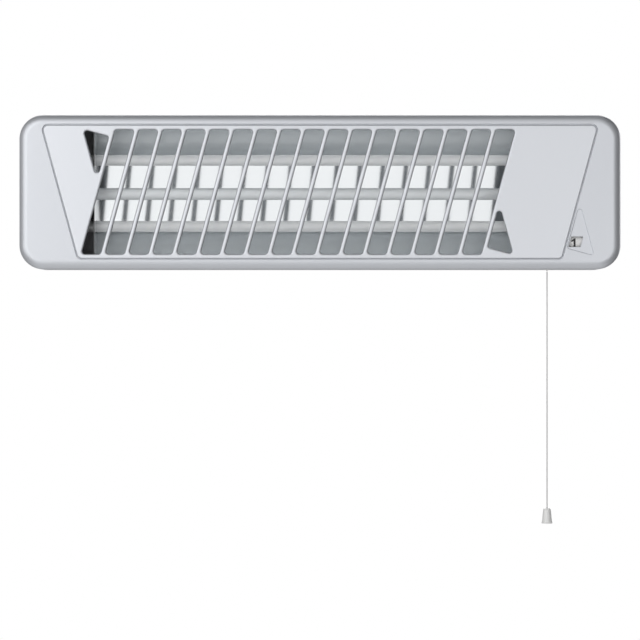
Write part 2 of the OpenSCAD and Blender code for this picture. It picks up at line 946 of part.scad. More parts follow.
module louvre() {
    for (i = [0:slot_count - 1])
        leaning_slot(
            louvre_x + (i - (slot_count - 1) / 2) * slot_pitch, 0, slot_w, slot_h, slot_corner_r
        );
    for (turn = [0, 180])
        translate([louvre_x, 0])
            rotate(turn)
                translate([-louvre_x, 0])
                    wedge(
                        [end_bar_x + bar_w / 2 + vent_tip_h * tan_s, vent_tip_h],
                        vent_side, vent_corner_r
                    );
}

module grille_panel() {
    color("gainsboro")
        housing_frame()
            difference() {
                union() {
                    from_d(seat_d, panel_t)
                        panel_outline(0);
                    from_d(bars_d, bar_depth - panel_t / 2)
                        bar_field();
                }
                from_d(bars_d - cut, bar_depth + 2 * cut)
                    louvre();
                panel_screw_places()
                    translate([0, 0, ledge_t])
                        cylinder(h = 2 * panel_screw_bite, r = panel_screw_r + touch, center = true);
            }
}

// The bars' back ribs stop short of the slots' round corners and of the ledge
module bar_field() {
    half_w = slot_count * slot_pitch / 2 + bar_w / 2 - rib_inset;
    half_h = slot_h / 2 - 1.3 * slot_corner_r - rib_inset;
    intersection() {
        polygon([
            [louvre_x - half_w - half_h * tan_s, -half_h], [louvre_x + half_w - half_h * tan_s, -half_h],
            [louvre_x + half_w + half_h * tan_s, half_h], [louvre_x - half_w + half_h * tan_s, half_h]
        ]);
        panel_outline(-ledge_w - loose_gap);
    }
}

// Screws through the cover's ledge into the back of the panel, with z pointing to the front
module panel_screw_places() {
    for (x = panel_screw_xs, side = [-1, 1])
        translate([x, side * (panel_h - ledge_w) / 2, ledge_d])
            children();
}

module panel_screws() {
    color("silver")
        housing_frame()
            panel_screw_places()
                difference() {
                    union() {
                        translate([0, 0, -panel_screw_head_t - touch])
                            cylinder(h = panel_screw_head_t, r = panel_screw_head_r);
                        translate([0, 0, -panel_screw_head_t / 2])
                            cylinder(
                                h = panel_screw_head_t / 2 + ledge_t + panel_screw_bite - touch,
                                r = panel_screw_r
                            );
                    }
                    translate([0, 0, -panel_screw_head_t - cut])
                        cross_recess(panel_screw_head_r * 1.3, panel_screw_head_t / 2 + cut);
                }
}

// Reflector

module reflector() {
    color("silver")
        housing_frame()
            along_x(reflector_x, reflector_len) {
                intersection() {
                    ring(bead_centre, bead_r - reflector_t);
                    translate([-bead_half - touch, bead_centre[1]])
                        square([2 * (bead_half + touch), bead_r]);
                }
                half_trough();
                mirror([1, 0])
                    half_trough();
            }
}

// Upper half of the trough as an [h, d] outline
module half_trough() {
    sheet_arc(inner_centre, inner_curve_r, bead_half, bend_h);
    sheet_arc(outer_centre, outer_curve_r, bend_h, reflector_half_h);
    translate([reflector_half_h, lip_d - 2 * reflector_t])
        square([reflector_t, reflector_front_d - lip_d + 2 * reflector_t]);
}

// Bent sheet between heights from and to, with its hollow side towards the front
module sheet_arc(centre, r, from, to) {
    intersection() {
        ring(centre, r);
        translate([from, 0])
            square([to - from, centre[1]]);
    }
}

// Section of a rolled sheet of inner radius r
module ring(centre, r) {
    translate(centre)
        difference() {
            circle(r + reflector_t, $fn = 96);
            circle(r, $fn = 96);
        }
}

// End plate with its foot turned away from the reflector, drawn for the right end
module reflector_end() {
    housing_frame() {
        difference() {
            along_x(0, reflector_t) {
                translate([-reflector_half_h, trough_d - 2])
                    square([2 * reflector_half_h, reflector_front_d - trough_d + 2]);
                translate([-leg_half_h, floor_d])
                    square([2 * leg_half_h, trough_d - floor_d]);
            }
            for (side = [-1, 1])
                rod_x(-cut, reflector_t + 2 * cut, end_hole_r, side * tube_h, tube_d);
        }
        translate([0, -foot_half_h, floor_d])
            cube([foot_len, 2 * foot_half_h, reflector_t]);
    }
}

module reflector_end_left() {
    color("silver")
        translate([reflector_x, 0, 0])
            mirror([1, 0, 0])
                reflector_end();
}

module reflector_end_right() {
    color("silver")
        translate([reflector_end_x, 0, 0])
            reflector_end();
}

module heat_shield() {
    color("lightgray")
        housing_frame()
            difference() {
                translate([reflector_x + shield_inset, -shield_half_h, shield_d])
                    cube([reflector_len - 2 * shield_inset, 2 * shield_half_h, shield_t]);
                post_places()
                    cylinder(h = shield_d, r = post_r / 2 + touch);
            }
}

module post_places() {
    for (x = [-post_x, post_x], h = [-post_h, post_h])
        translate([x, h, floor_d])
            children();
}

module shield_posts() {
    color("silver")
        housing_frame()
            post_places() {
                cylinder(h = shield_d - floor_d, r = post_r);
                cylinder(h = shield_d - floor_d + shield_t + post_head_t, r = post_r / 2);
                translate([0, 0, shield_d - floor_d + shield_t + touch])
                    cylinder(h = post_head_t, r = post_r * 0.8);
            }
}

// Tubes, drawn with the end cap facing +x at x = 0

module tube_heights() {
    for (side = [-1, 1])
        translate([0, side * tube_h, tube_d])
            rotate([0, 90, 0])
                children();
}

module right_end() {
    housing_frame()
        translate([tube_right_x, 0, 0])
            children();
}

module left_end() {
    housing_frame()
        translate([tube_left_x, 0, 0])
            mirror([1, 0, 0])
                children();
}

module ceramic_caps() {
    tube_heights()
        difference() {
            union() {
                translate([0, 0, -cap_over])
                    cylinder(h = cap_over + cap_out, r = cap_r);
                translate([0, 0, cap_flange_out - cap_flange_t])
                    cylinder(h = cap_flange_t, r = cap_flange_r);
            }
            translate([0, 0, -cap_over - cut])
                cylinder(h = cap_over + cut, r = tube_r + run_gap);
            cylinder(h = cap_out + cut, r = stud_r + run_gap);
        }
}

module ceramic_caps_left() {
    color("ivory")
        left_end()
            ceramic_caps();
}

module ceramic_caps_right() {
    color("ivory")
        right_end()
            ceramic_caps();
}

support_out = cap_flange_out + support_gap;
clip_out = support_out + sheet_t + support_gap;

module tube_support() {
    difference() {
        union() {
            along_x(support_out, sheet_t) {
                translate([-support_half_h, support_back_d])
                    square([2 * support_half_h, support_front_d - support_back_d]);
                translate([-foot_half_h, floor_d])
                    square([2 * foot_half_h, tube_d - floor_d]);
            }
            translate([support_out, -foot_half_h, floor_d])
                cube([foot_len, 2 * foot_half_h, sheet_t]);
        }
        tube_heights()
            cylinder(h = 2 * clip_out, r = cap_r + support_gap);
    }
}

module tube_support_left() {
    color("lightgray")
        left_end()
            tube_support();
}

module tube_support_right() {
    color("lightgray")
        right_end()
            tube_support();
}

// Open spring clips that hold the caps in the supports
module cap_clips() {
    color("silver") {
        left_end()
            cap_clip_pair();
        right_end()
            cap_clip_pair();
    }
}

module cap_clip_pair() {
    tube_heights()
        translate([0, 0, clip_out])
            linear_extrude(clip_t)
                difference() {
                    circle(cap_flange_r + 0.5);
                    circle(cap_r + touch);
                    translate([-cap_flange_r - 2, -cap_r / 2])
                        square([cap_flange_r, cap_r]);
                }
}

module terminal_studs() {
    color("silver") {
        left_end()
            stud_pair();
        right_end()
            stud_pair();
    }
}

module stud_pair() {
    tube_heights() {
        translate([0, 0, -touch - plug_t])
            cylinder(h = plug_t, r = tube_r - tube_wall - plug_gap);
        translate([0, 0, -stud_in])
            cylinder(h = cap_out + stud_out + stud_in, r = stud_r);
    }
}

nut_one = cap_out + 0.1;
link_out = nut_one + nut_t + 0.2;
nut_two = link_out + link_t + 0.2;

module terminal_nuts() {
    color("silver") {
        left_end()
            nut_pair();
        right_end()
            nut_pair();
    }
}

module nut_pair() {
    tube_heights()
        for (out = [nut_one, nut_two])
            translate([0, 0, out])
                difference() {
                    cylinder(h = nut_t, r = nut_r, $fn = 6);
                    translate([0, 0, -cut])
                        cylinder(h = nut_t + 2 * cut, r = stud_r + touch);
                }
}

// Strip that joins the two left-hand studs
module neutral_link() {
    color("silver")
        left_end()
            difference() {
                along_x(link_out, link_t) {
                    translate([-tube_h, tube_d - link_half_w])
                        square([2 * tube_h, 2 * link_half_w]);
                    for (side = [-1, 1])
                        translate([side * tube_h, tube_d])
                            circle(link_half_w);
                }
                tube_heights()
                    cylinder(h = 2 * link_out, r = stud_r + touch);
            }
}

module quartz_tube(side) {
    housing_frame()
        difference() {
            rod_x(tube_left_x, tube_right_x - tube_left_x, tube_r, side * tube_h, tube_d);
            rod_x(
                tube_left_x - cut, tube_right_x - tube_left_x + 2 * cut, tube_r - tube_wall,
                side * tube_h, tube_d
            );
        }
}

module quartz_tube_upper() {
    color("whitesmoke")
        quartz_tube(1);
}

module quartz_tube_lower() {
    color("whitesmoke")
        quartz_tube(-1);
}

// The closely wound wire as a sleeve, with a straight lead at each end
module heating_coil(side) {
    h = side * tube_h;
    x = tube_left_x + coil_inset;
    len = tube_right_x - tube_left_x - 2 * coil_inset;
    housing_frame() {
        difference() {
            rod_x(x, len, coil_r, h, tube_d);
            rod_x(x + coil_wall, len - 2 * coil_wall, coil_r - coil_wall, h, tube_d);
        }
        rod_x(tube_left_x + lead_end, coil_inset - lead_end, lead_r, h, tube_d);
        rod_x(x + len, coil_inset - lead_end, lead_r, h, tube_d);
    }
}

module heating_coil_upper() {
    color("gray")
        heating_coil(1);
}

module heating_coil_lower() {
    color("gray")
        heating_coil(-1);
}

// Terminals and wires

module terminal_block() {
    color("white")
        housing_frame()
            translate([block_x, block_h, floor_d])
                difference() {
                    cube(block_size);
                    for (i = [0:block_ways - 1]) {
                        translate([block_size[0] / 2, (i + 0.5) * block_way_pitch, block_size[2] / 2])
                            cylinder(h = block_size[2], r = block_screw_r + touch);
                        translate([-cut, (i + 0.5) * block_way_pitch, block_wire_rise])
                            rotate([0, 90, 0])
                                cylinder(h = block_size[0] + 2 * cut, r = block_bore_r);
                    }
                    for (i = [1:block_ways - 1])
                        translate([
                            -cut, i * block_way_pitch - block_groove[0] / 2,
                            block_size[2] - block_groove[1]
                        ])
                            cube([block_size[0] + 2 * cut, block_groove[0], block_groove[1] + cut]);
                }
}

module terminal_screws() {
    color("silver")
        housing_frame()
            for (i = [0:block_ways - 1])
                translate([
                    block_x + block_size[0] / 2, block_h + (i + 0.5) * block_way_pitch,
                    floor_d + block_screw_d
                ])
                    difference() {
                        cylinder(h = block_screw_t, r = block_screw_r);
                        translate([-block_screw_r, -screw_slot[0] / 2, block_screw_t - screw_slot[1]])
                            cube([2 * block_screw_r, screw_slot[0], screw_slot[1] + cut]);
                    }
}

module cable_grommet() {
    color("dimgray")
        housing_frame()
            translate([grommet_x, grommet_h, back_gap])
                difference() {
                    union() {
                        translate([0, 0, -grommet_lip_t])
                            cylinder(h = grommet_lip_t - touch, r = grommet_lip_r);
                        translate([0, 0, -grommet_lip_t / 2])
                            cylinder(h = rear_wall + grommet_lip_t, r = grommet_r - touch);
                        translate([0, 0, rear_wall + touch])
                            cylinder(h = grommet_lip_t, r = grommet_inner_r);
                    }
                    translate([0, 0, -grommet_lip_t - cut])
                        cylinder(h = rear_wall + 2 * (grommet_lip_t + cut), r = cable_r);
                }
}

module earth_stud() {
    color("gold")
        housing_frame()
            translate([earth_x, earth_h, floor_d]) {
                cylinder(h = earth_len, r = earth_r);
                translate([0, 0, earth_nut_rise])
                    cylinder(h = earth_nut[1], r = earth_nut[0], $fn = 6);
                cylinder(h = earth_foot[1], r = earth_foot[0]);
            }
}

module wire(route, shade) {
    color(shade)
        housing_frame()
            sweep(smooth(route, wire_steps), wire_r, wire_sides);
}

module wire_live() {
    wire(live_route, "saddlebrown");
}

module wire_stage_one() {
    wire(stage_one_route, "white");
}

module wire_stage_two() {
    wire(stage_two_route, "white");
}

module wire_neutral() {
    wire(neutral_route, "steelblue");
}

module wire_earth() {
    wire(earth_route, "yellowgreen");
}

// Pull switch

module switch_bracket() {
    color("lightgray")
        housing_frame()
            translate([left_cheek_x, shaft_h - frame_half_h, 0]) {
                translate([0, 0, floor_d])
                    cube([frame_len, bracket_foot, bracket_plate_t]);
                translate([0, 0, floor_d])
                    cube([frame_len, bracket_plate_t, frame_plate_d - floor_d]);
                translate([0, 0, frame_plate_d - bracket_plate_t])
                    cube([frame_len, 2 * frame_half_h, bracket_plate_t]);
            }
}

module switch_frame() {
    color("white")
        housing_frame()
            difference() {
                union() {
                    translate([left_cheek_x, shaft_h - frame_half_h, frame_plate_d + touch])
                        cube([frame_len, 2 * frame_half_h, frame_plate_t]);
                    for (x = [left_cheek_x, right_cheek_x])
                        along_x(x, cheek_t) {
                            translate([shaft_h - cheek_r, frame_plate_d + frame_plate_t / 2])
                                square([2 * cheek_r, shaft_d - frame_plate_d - frame_plate_t / 2]);
                            translate([shaft_h, shaft_d])
                                circle(cheek_r);
                        }
                }
                rod_x(left_cheek_x - cut, frame_len + 2 * cut, shaft_r + run_gap, shaft_h, shaft_d);
            }
}

module switch_contacts() {
    block_d = frame_plate_d + frame_plate_t + 2 * touch;
    block_top_h = shaft_h + frame_half_h;
    color("goldenrod")
        housing_frame() {
            translate([cam_x - 0.6, block_top_h - contact_block[1], block_d])
                cube(contact_block);
            for (i = [0:2])
                translate([tab_x + i * contact_pitch - contact_tab[0] / 2, block_top_h - 1, tab_d - 2])
                    cube([contact_tab[0], contact_tab[1] + 1, contact_tab[2]]);
            for (i = [0, 1])
                translate([cam_x + i * cam_pitch, shaft_h + cam_peak_r + blade_t, block_d + 2])
                    cube([cam_t, blade_t, shaft_d - block_d]);
        }
}

module indicator_window() {
    color("aliceblue")
        housing_frame()
            from_d(cover_inner_d - window_t, window_t - touch)
                leaning_slot(
                    window_x - window_mid_h * tan_s, window_mid_h,
                    window_w + 2 * window_lap, window_h + 4, 0.8
                );
}

module switch_shaft() {
    color("silver")
        housing_frame() {
            rod_x(left_cheek_x - 2, drum_x + drum_len + 1 - left_cheek_x + 2, shaft_r, shaft_h, shaft_d);
            for (i = [0, 1])
                along_x(cam_x + i * cam_pitch, cam_t)
                    translate([shaft_h, shaft_d])
                        cam_outline(60 * i);
        }
}

module cam_outline(turn) {
    circle(cam_r);
    for (i = [0:2])
        rotate(turn + 120 * i)
            translate([cam_peak_r - cam_lobe_r, 0])
                circle(cam_lobe_r);
}

module ratchet_wheel() {
    step = 360 / ratchet_teeth;
    color("white")
        housing_frame()
            difference() {
                along_x(ratchet_x, ratchet_t)
                    translate([shaft_h, shaft_d])
                        polygon([
                            for (i = [0:ratchet_teeth - 1])
                                each [
                                    ratchet_r * [cos(i * step), sin(i * step)],
                                    ratchet_root_r * [cos(i * step + 4), sin(i * step + 4)],
                                    (ratchet_root_r + ratchet_bulge)
                                        * [cos((i + 0.5) * step), sin((i + 0.5) * step)]
                                ]
                        ]);
                rod_x(ratchet_x - cut, ratchet_t + 2 * cut, shaft_r + touch, shaft_h, shaft_d);
            }
}

// Drum that carries the stage numbers
module indicator_drum() {
    color("white")
        housing_frame()
            difference() {
                rod_x(drum_x, drum_len, drum_r, shaft_h, shaft_d);
                rod_x(drum_x - cut, drum_len + 2 * cut, shaft_r + touch, shaft_h, shaft_d);
                difference() {
                    rod_x(drum_x + drum_web, drum_len, drum_r - drum_rim, shaft_h, shaft_d);
                    rod_x(drum_x, drum_len + cut, shaft_r + drum_hub_t, shaft_h, shaft_d);
                }
            }
}

// Lever frame: x along the shaft, u out along the arm towards the wall, v up from the arm at rest
module lever_frame() {
    housing_frame()
        translate([0, shaft_h, shaft_d])
            rotate([lever_rest, 0, 0])
                children();
}

module pull_lever() {
    slot_u = lever_arm / cos(lever_rest) - lever_slot_shift;
    color("white")
        lever_frame()
            difference() {
                union() {
                    rod_x(lever_x, lever_w, lever_hub_r, 0, 0);
                    translate([lever_x, -lever_t / 2, -slot_u - lever_end])
                        cube([lever_w, lever_t, slot_u + lever_end]);
                }
                rod_x(lever_x - 2 * cut, lever_w + 4 * cut, shaft_r + run_gap, 0, 0);
                translate([cord_x - lever_slot_w / 2, -lever_t, -slot_u - lever_slot_half])
                    cube([lever_slot_w, 2 * lever_t, 2 * lever_slot_half]);
            }
}

// Finger on the lever that turns the ratchet wheel
module drive_pawl() {
    color("silver")
        lever_frame()
            translate([lever_x + lever_w + touch, -lever_t / 2, 0]) {
                translate([0, 0, -ratchet_r - 4])
                    cube([ratchet_t, lever_t, 3]);
                translate([0.6, -2, -ratchet_r - 1.8])
                    cube([ratchet_t - 0.6, 3, 1.4]);
            }
}

module inner_cord() {
    color("whitesmoke")
        housing_frame()
            translate([cord_x, swing_h, cord_d])
                rotate([-90, 0, 0]) {
                    cylinder(h = stop_h - swing_h, r = cord_r, $fn = 24);
                    sphere(cord_r, $fn = 24);
                }
}

module cord_stop() {
    color("silver")
        housing_frame()
            translate([cord_x, stop_h, cord_d])
                difference() {
                    sphere(stop_r);
                    rotate([90, 0, 0])
                        cylinder(h = 2 * stop_r, r = cord_r + touch, $fn = 24);
                }
}

// Washer crimped on the cord under the lever
module spring_cup() {
    color("silver")
        housing_frame()
            translate([cord_x, cup_top_h, cord_d])
                rotate([90, 0, 0])
                    difference() {
                        cylinder(h = cup_t, r = cup_r);
                        translate([0, 0, -cut])
                            cylinder(h = cup_t + 2 * cut, r = cord_r + touch, $fn = 24);
                    }
}

// Spring that lifts the cord, its coils as a sleeve
module return_spring() {
    foot_h = flange_h + bush_flange_t + touch;
    color("silver")
        housing_frame()
            translate([cord_x, foot_h, cord_d])
                rotate([-90, 0, 0])
                    difference() {
                        cylinder(h = cup_top_h - cup_t - touch - foot_h, r = cup_r);
                        translate([0, 0, -cut])
                            cylinder(h = cup_top_h - foot_h, r = cup_r - spring_wire);
                    }
}

// Guide in the cover's bottom wall, flanged inside
module cord_bush() {
    color("whitesmoke")
        housing_frame()
            translate([cord_x, exit_h, cord_d])
                rotate([-90, 0, 0])
                    difference() {
                        union() {
                            cylinder(h = flange_h + bush_flange_t - exit_h, r = bush_r);
                            translate([0, 0, flange_h - exit_h])
                                cylinder(h = bush_flange_t, r = bush_flange_r);
                        }
                        translate([0, 0, -cut])
                            cylinder(h = 4 * cover_wall, r = bush_bore_r);
                    }
}

// Free cord, straight down from the swing point to the knot
module pull_cord() {
    route = [for (drop = cord_drops) [cord_x, swing_h - drop, cord_d]];
    color("whitesmoke")
        housing_frame()
            sweep(smooth(route, cord_steps), cord_r, cord_sides);
}

module cord_grip() {
    color("white")
        housing_frame()
            translate([cord_x, grip_bottom_h, cord_d])
                rotate([-90, 0, 0])
                    difference() {
                        union() {
                            cylinder(h = grip_lip_t, r = grip_lip_r);
                            cylinder(h = grip_h - 1, r1 = grip_bottom_r, r2 = grip_top_r);
                            cylinder(h = grip_h, r = grip_top_r - 0.8);
                        }
                        translate([0, 0, -cut])
                            cylinder(h = grip_h + 2 * cut, r = cord_r + run_gap);
                        translate([0, 0, -cut])
                            cylinder(h = grip_recess + cut, r = grip_recess_r);
                    }
}

module cord_knot() {
    color("whitesmoke")
        housing_frame()
            translate([cord_x, cord_end_h - knot_r - touch, cord_d])
                sphere(knot_r);
}

wall_bracket();
pivot_bolts();
friction_washers();
tilt_knob_left();
tilt_knob_right();
rear_tray();
hinge_lug_left();
hinge_lug_right();
lug_rivets();
front_cover();
cover_seal();
cover_screws();
grille_panel();
panel_screws();
reflector();
reflector_end_left();
reflector_end_right();
heat_shield();
shield_posts();
tube_support_left();
tube_support_right();
quartz_tube_upper();
quartz_tube_lower();
heating_coil_upper();
heating_coil_lower();
ceramic_caps_left();
ceramic_caps_right();
cap_clips();
terminal_studs();
terminal_nuts();
neutral_link();
terminal_block();
terminal_screws();
cable_grommet();
earth_stud();
wire_live();
wire_stage_one();
wire_stage_two();
wire_neutral();
wire_earth();
switch_bracket();
switch_frame();
switch_contacts();
indicator_window();
switch_shaft();
ratchet_wheel();
indicator_drum();
pull_lever();
drive_pawl();
inner_cord();
cord_stop();
spring_cup();
return_spring();
cord_bush();
pull_cord();
cord_grip();
cord_knot();
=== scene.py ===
# %% [markdown]
# # Quartz infrared heater
# This heater hangs on a wall: a long silver housing, a slanted grille in front of a polished reflector,
# two milky quartz tubes, and a pull cord that steps a switch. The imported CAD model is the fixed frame.
# Every piece below is made in that frame, in metres, with +Z up and the front looking along -Y.

# %% Load the fixed frame
import json
import math
from functools import partial

import bmesh
import bpy
from mathutils import Matrix, Vector, geometry


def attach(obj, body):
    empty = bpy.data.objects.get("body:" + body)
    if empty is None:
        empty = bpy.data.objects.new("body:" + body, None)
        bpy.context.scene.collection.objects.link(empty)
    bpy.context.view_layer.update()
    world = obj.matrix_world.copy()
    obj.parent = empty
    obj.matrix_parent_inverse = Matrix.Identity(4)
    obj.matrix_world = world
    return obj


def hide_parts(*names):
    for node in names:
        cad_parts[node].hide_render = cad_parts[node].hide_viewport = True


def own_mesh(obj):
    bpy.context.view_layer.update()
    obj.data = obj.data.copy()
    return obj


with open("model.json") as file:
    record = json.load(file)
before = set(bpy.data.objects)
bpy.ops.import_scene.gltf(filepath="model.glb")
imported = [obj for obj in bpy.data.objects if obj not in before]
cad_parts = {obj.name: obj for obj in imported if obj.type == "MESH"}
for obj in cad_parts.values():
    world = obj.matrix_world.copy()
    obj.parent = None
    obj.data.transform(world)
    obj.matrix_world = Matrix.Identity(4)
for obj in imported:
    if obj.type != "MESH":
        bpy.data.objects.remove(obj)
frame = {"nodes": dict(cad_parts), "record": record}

scene = bpy.context.scene
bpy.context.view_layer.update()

# %% [markdown]
# ## Sizes
# The sizes are in millimetres, as on the drawing. A place on the housing is x along it, h above its
# middle and d away from the wall. Two small helpers turn such a place into a point of the frame.

# %% Sizes shared by the pieces
MM = 0.001
RISE = 45.0
FRONT_D, COVER_BACK_D, COVER_WALL = 112.0, 58.0, 2.2
HOUSING, CORNER_R, EDGE_R = (600.0, 154.0), 24.0, 9.0
SEAT_D, LEDGE_D, GROOVE = 109.6, 107.3, 1.0
LEAN = math.tan(math.radians(15.3))
SIN_LEAN, COS_LEAN = math.sin(math.atan(LEAN)), math.cos(math.atan(LEAN))
TUBE_H, TUBE_D, TUBE_R, TUBE_WALL = 33.3, 75.0, 5.5, 1.2
TUBE_ENDS = (-245.0, 208.0)
PIVOT_D = 17.0
UP, ALONG = (0, 0, 1), (1, 0, 0)


def at(x, h, d):
    """A place on the housing as a point of the frame."""
    return Vector((x * MM, -d * MM, (h + RISE) * MM))


def by_wall(x, z, d):
    """A place on the wall bracket as a point of the frame."""
    return Vector((x * MM, -d * MM, z * MM))


print("housing", HOUSING, "mm, front face", FRONT_D, "mm from the wall")

# %% [markdown]
# ## Camera
# The photograph looks straight at the front from about three metres, a little below the housing's middle.
# The camera comes first, because the cord has to stay inside its view.


# %% Camera
def new_object(name, data, place=(0, 0, 0)):
    """Links a new object with its data to the scene."""
    made = bpy.data.objects.new(name, data)
    made.location = place
    scene.collection.objects.link(made)
    return made


camera = new_object("camera", bpy.data.cameras.new("camera"), (0.0, -3.012, -0.0826))
camera.data.lens, camera.data.sensor_width, camera.data.clip_end = 163.9, 36.0, 50.0
camera.rotation_euler = (math.radians(90), 0.0, 0.0)
scene.camera = camera
print("camera at", tuple(camera.location), "lens", camera.data.lens)

# %% [markdown]
# ## Small tools for meshes
# Most pieces here are pressed or turned, so two ways of making a mesh come back again and again:
# rings of points joined by strips, and a profile turned round an axis. `settle` merges doubled points,
# turns the faces outwards, marks the sharp edges and weights the normals, so that flat faces stay flat
# next to rounded edges.


# %% Mesh helpers
def evaluated(piece):
    """The evaluated piece as a plain mesh."""
    graph = bpy.context.evaluated_depsgraph_get()
    return bpy.data.meshes.new_from_object(piece.evaluated_get(graph), depsgraph=graph)


def apply_modifiers(piece):
    """Turns the evaluated piece into its own plain mesh and removes its modifiers."""
    made = evaluated(piece)
    piece.modifiers.clear()
    piece.data = made
    made.name = piece.name
    return piece


def reworked(mesh, merge, outwards=True):
    """Opens a mesh for work, its doubled points merged and its faces turned outwards."""
    shape = bmesh.new()
    shape.from_mesh(mesh)
    bmesh.ops.remove_doubles(shape, verts=shape.verts, dist=merge)
    if outwards:
        bmesh.ops.recalc_face_normals(shape, faces=shape.faces)
    return shape


def close(shape, mesh):
    """Writes the worked shape back into the mesh."""
    shape.to_mesh(mesh)
    shape.free()


def settle(piece, sharp=38.0, merge=2e-6):
    """Merges doubled points, turns faces outwards and shades by angle and face size."""
    shape = reworked(piece.data, merge)
    open_edges = sum(1 for edge in shape.edges if len(edge.link_faces) != 2)
    close(shape, piece.data)
    piece.data.shade_smooth()
    piece.data.set_sharp_from_angle(angle=math.radians(sharp))
    weighted = piece.modifiers.new("weighted", "WEIGHTED_NORMAL")
    weighted.mode = "FACE_AREA"
    weighted.keep_sharp = True
    apply_modifiers(piece)
    print(piece.name, len(piece.data.polygons), "faces,", open_edges, "open edges")
    return piece


def cut_out(piece, cutter):
    """Takes the cutter's solid out of the piece and removes the cutter."""
    cut = piece.modifiers.new("cut", "BOOLEAN")
    cut.operation = "DIFFERENCE"
    cut.solver = "EXACT"
    cut.object = cutter
    apply_modifiers(piece)
    bpy.data.objects.remove(cutter)


print("meshes can be worked on")


# %% Rings, paths and profiles
def new_piece(name, points, faces):
    """A new object at the origin from points of the frame."""
    mesh = bpy.data.meshes.new(name)
    mesh.from_pydata([tuple(p) for p in points], [], faces)
    return new_object(name, mesh)


def band(low, high):
    """The faces between two closed rings of point numbers."""
    after = range(1, len(low) + 1)
    return [(low[k], low[n % len(low)], high[n % len(low)], high[k]) for k, n in enumerate(after)]


def give(piece, body, used, *nodes, slot=None):
    """Puts a finished piece on its body, with its finish, in place of its CAD nodes."""
    piece.data.materials.clear()
    piece.data.materials.append(finishes[used])
    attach(piece, body)
    slot or used
    if nodes:
        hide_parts(*nodes)
    return piece


def smooth_path(points, steps):
    """Points of the smooth curve through the given points, as in the CAD source."""
    out = []
    ends = [points[0], *points, points[-1]]
    for a, b, c, e in zip(ends, ends[1:], ends[2:], ends[3:]):
        for j in range(steps):
            t = j / steps
            out.append(0.5 * (2 * b + (c - a) * t + (2 * a - 5 * b + 4 * c - e) * t * t
                              + (3 * b - a - 3 * c + e) * t * t * t))
    return out + [points[-1]]


def rounded_profile(corners, steps=4):
    """A closed profile of (along, radius, rounding) corners; one without a rounding stays sharp."""
    places = [Vector(corner[:2]) for corner in corners]
    out = []
    for i, (b, (_, _, *rounding)) in enumerate(zip(places, corners)):
        if not rounding:
            out.append(tuple(b))
            continue
        r = rounding[0]
        u = (places[i - 1] - b).normalized()
        v = (places[(i + 1) % len(places)] - b).normalized()
        for k in range(steps + 1):
            t = k / steps
            out.append(tuple(b + u * r * (1 - t) ** 2 + v * r * t ** 2))
    return out


def lathe(name, profile, place=Vector(), axis=UP, sides=48):
    """Turns a closed profile of (along, radius) points round an axis through place."""
    axis = Vector(axis).normalized()
    side = axis.orthogonal().normalized()
    other = axis.cross(side)
    points, faces, rows = [], [], []
    for along, radius in profile:
        middle = place + axis * along * MM
        if radius < 1e-6:
            rows.append([len(points)] * sides)
            points.append(middle)
            continue
        rows.append(list(range(len(points), len(points) + sides)))
        for k in range(sides):
            angle = 2 * math.pi * k / sides
            points.append(middle + (side * math.cos(angle) + other * math.sin(angle)) * radius * MM)
    for low, high in zip(rows, rows[1:] + rows[:1]):
        for quad in band(low, high):
            face = [p for i, p in enumerate(quad) if p not in quad[:i]]
            if len(face) > 2:
                faces.append(face)
    return new_piece(name, points, faces)


print("profiles can be turned")

# %% [markdown]
# ## Small tools for node trees
# Finishes, repeated shapes and light are all node trees. `plug` fills a node's inputs: a number or a
# colour is set, and a socket is linked. An input's name starts with a capital letter, or it goes by its
# place, and a name in small letters is one of the node's settings.


# %% Node helpers
def plug(tree, node, *numbered, **named):
    """Sets or links a node's inputs, and sets its settings."""
    inputs = dict(enumerate(numbered))
    for name, value in named.items():
        if name[0].isupper():
            inputs[name.replace("_", " ")] = value
        else:
            setattr(node, name, value)
    for name, value in inputs.items():
        for one in value if isinstance(value, list) else [value]:
            if isinstance(one, bpy.types.NodeSocket):
                tree.links.new(one, node.inputs[name])
            elif one is not None:
                node.inputs[name].default_value = one
    return node


def add(tree, kind, *numbered, **named):
    """A new node whose inputs and settings are plugged; its first usable output is what counts."""
    node = plug(tree, tree.nodes.new(kind), *numbered, **named)
    return next(socket for socket in node.outputs if socket.enabled) if node.outputs else node


def math_node(tree, operation, *numbers):
    return add(tree, "ShaderNodeMath", *numbers, operation=operation)


finishes = {}


def new_material(name, bare=True):
    """The node tree of a new material, which finishes keeps by its name; empty if bare."""
    material = finishes[name] = bpy.data.materials.new(name)
    material.use_nodes = True
    if bare:
        material.node_tree.nodes.clear()
    return material.node_tree


print("node helpers are ready")

# %% [markdown]
# ## Finishes
# Every finish is a small node tree on Object coordinates. A noise at the scale of the real surface
# varies the colour and the roughness a little, and gives a fine bump: flakes and orange peel in the
# silver lacquer, rolling lines in the sheet, spangle in the zinc, speckle in the ceramic.
# Numbers that are the same all over a surface are set on the shader itself.


# %% Finish builder
def mix_node(tree, kind, share, first, second, **settings):
    """A mix of two numbers or colours."""
    node = tree.nodes.new("ShaderNodeMix")
    node.data_type = kind
    plug(tree, node, Factor=share, A=first, B=second, **settings)
    return node.outputs["Result"]


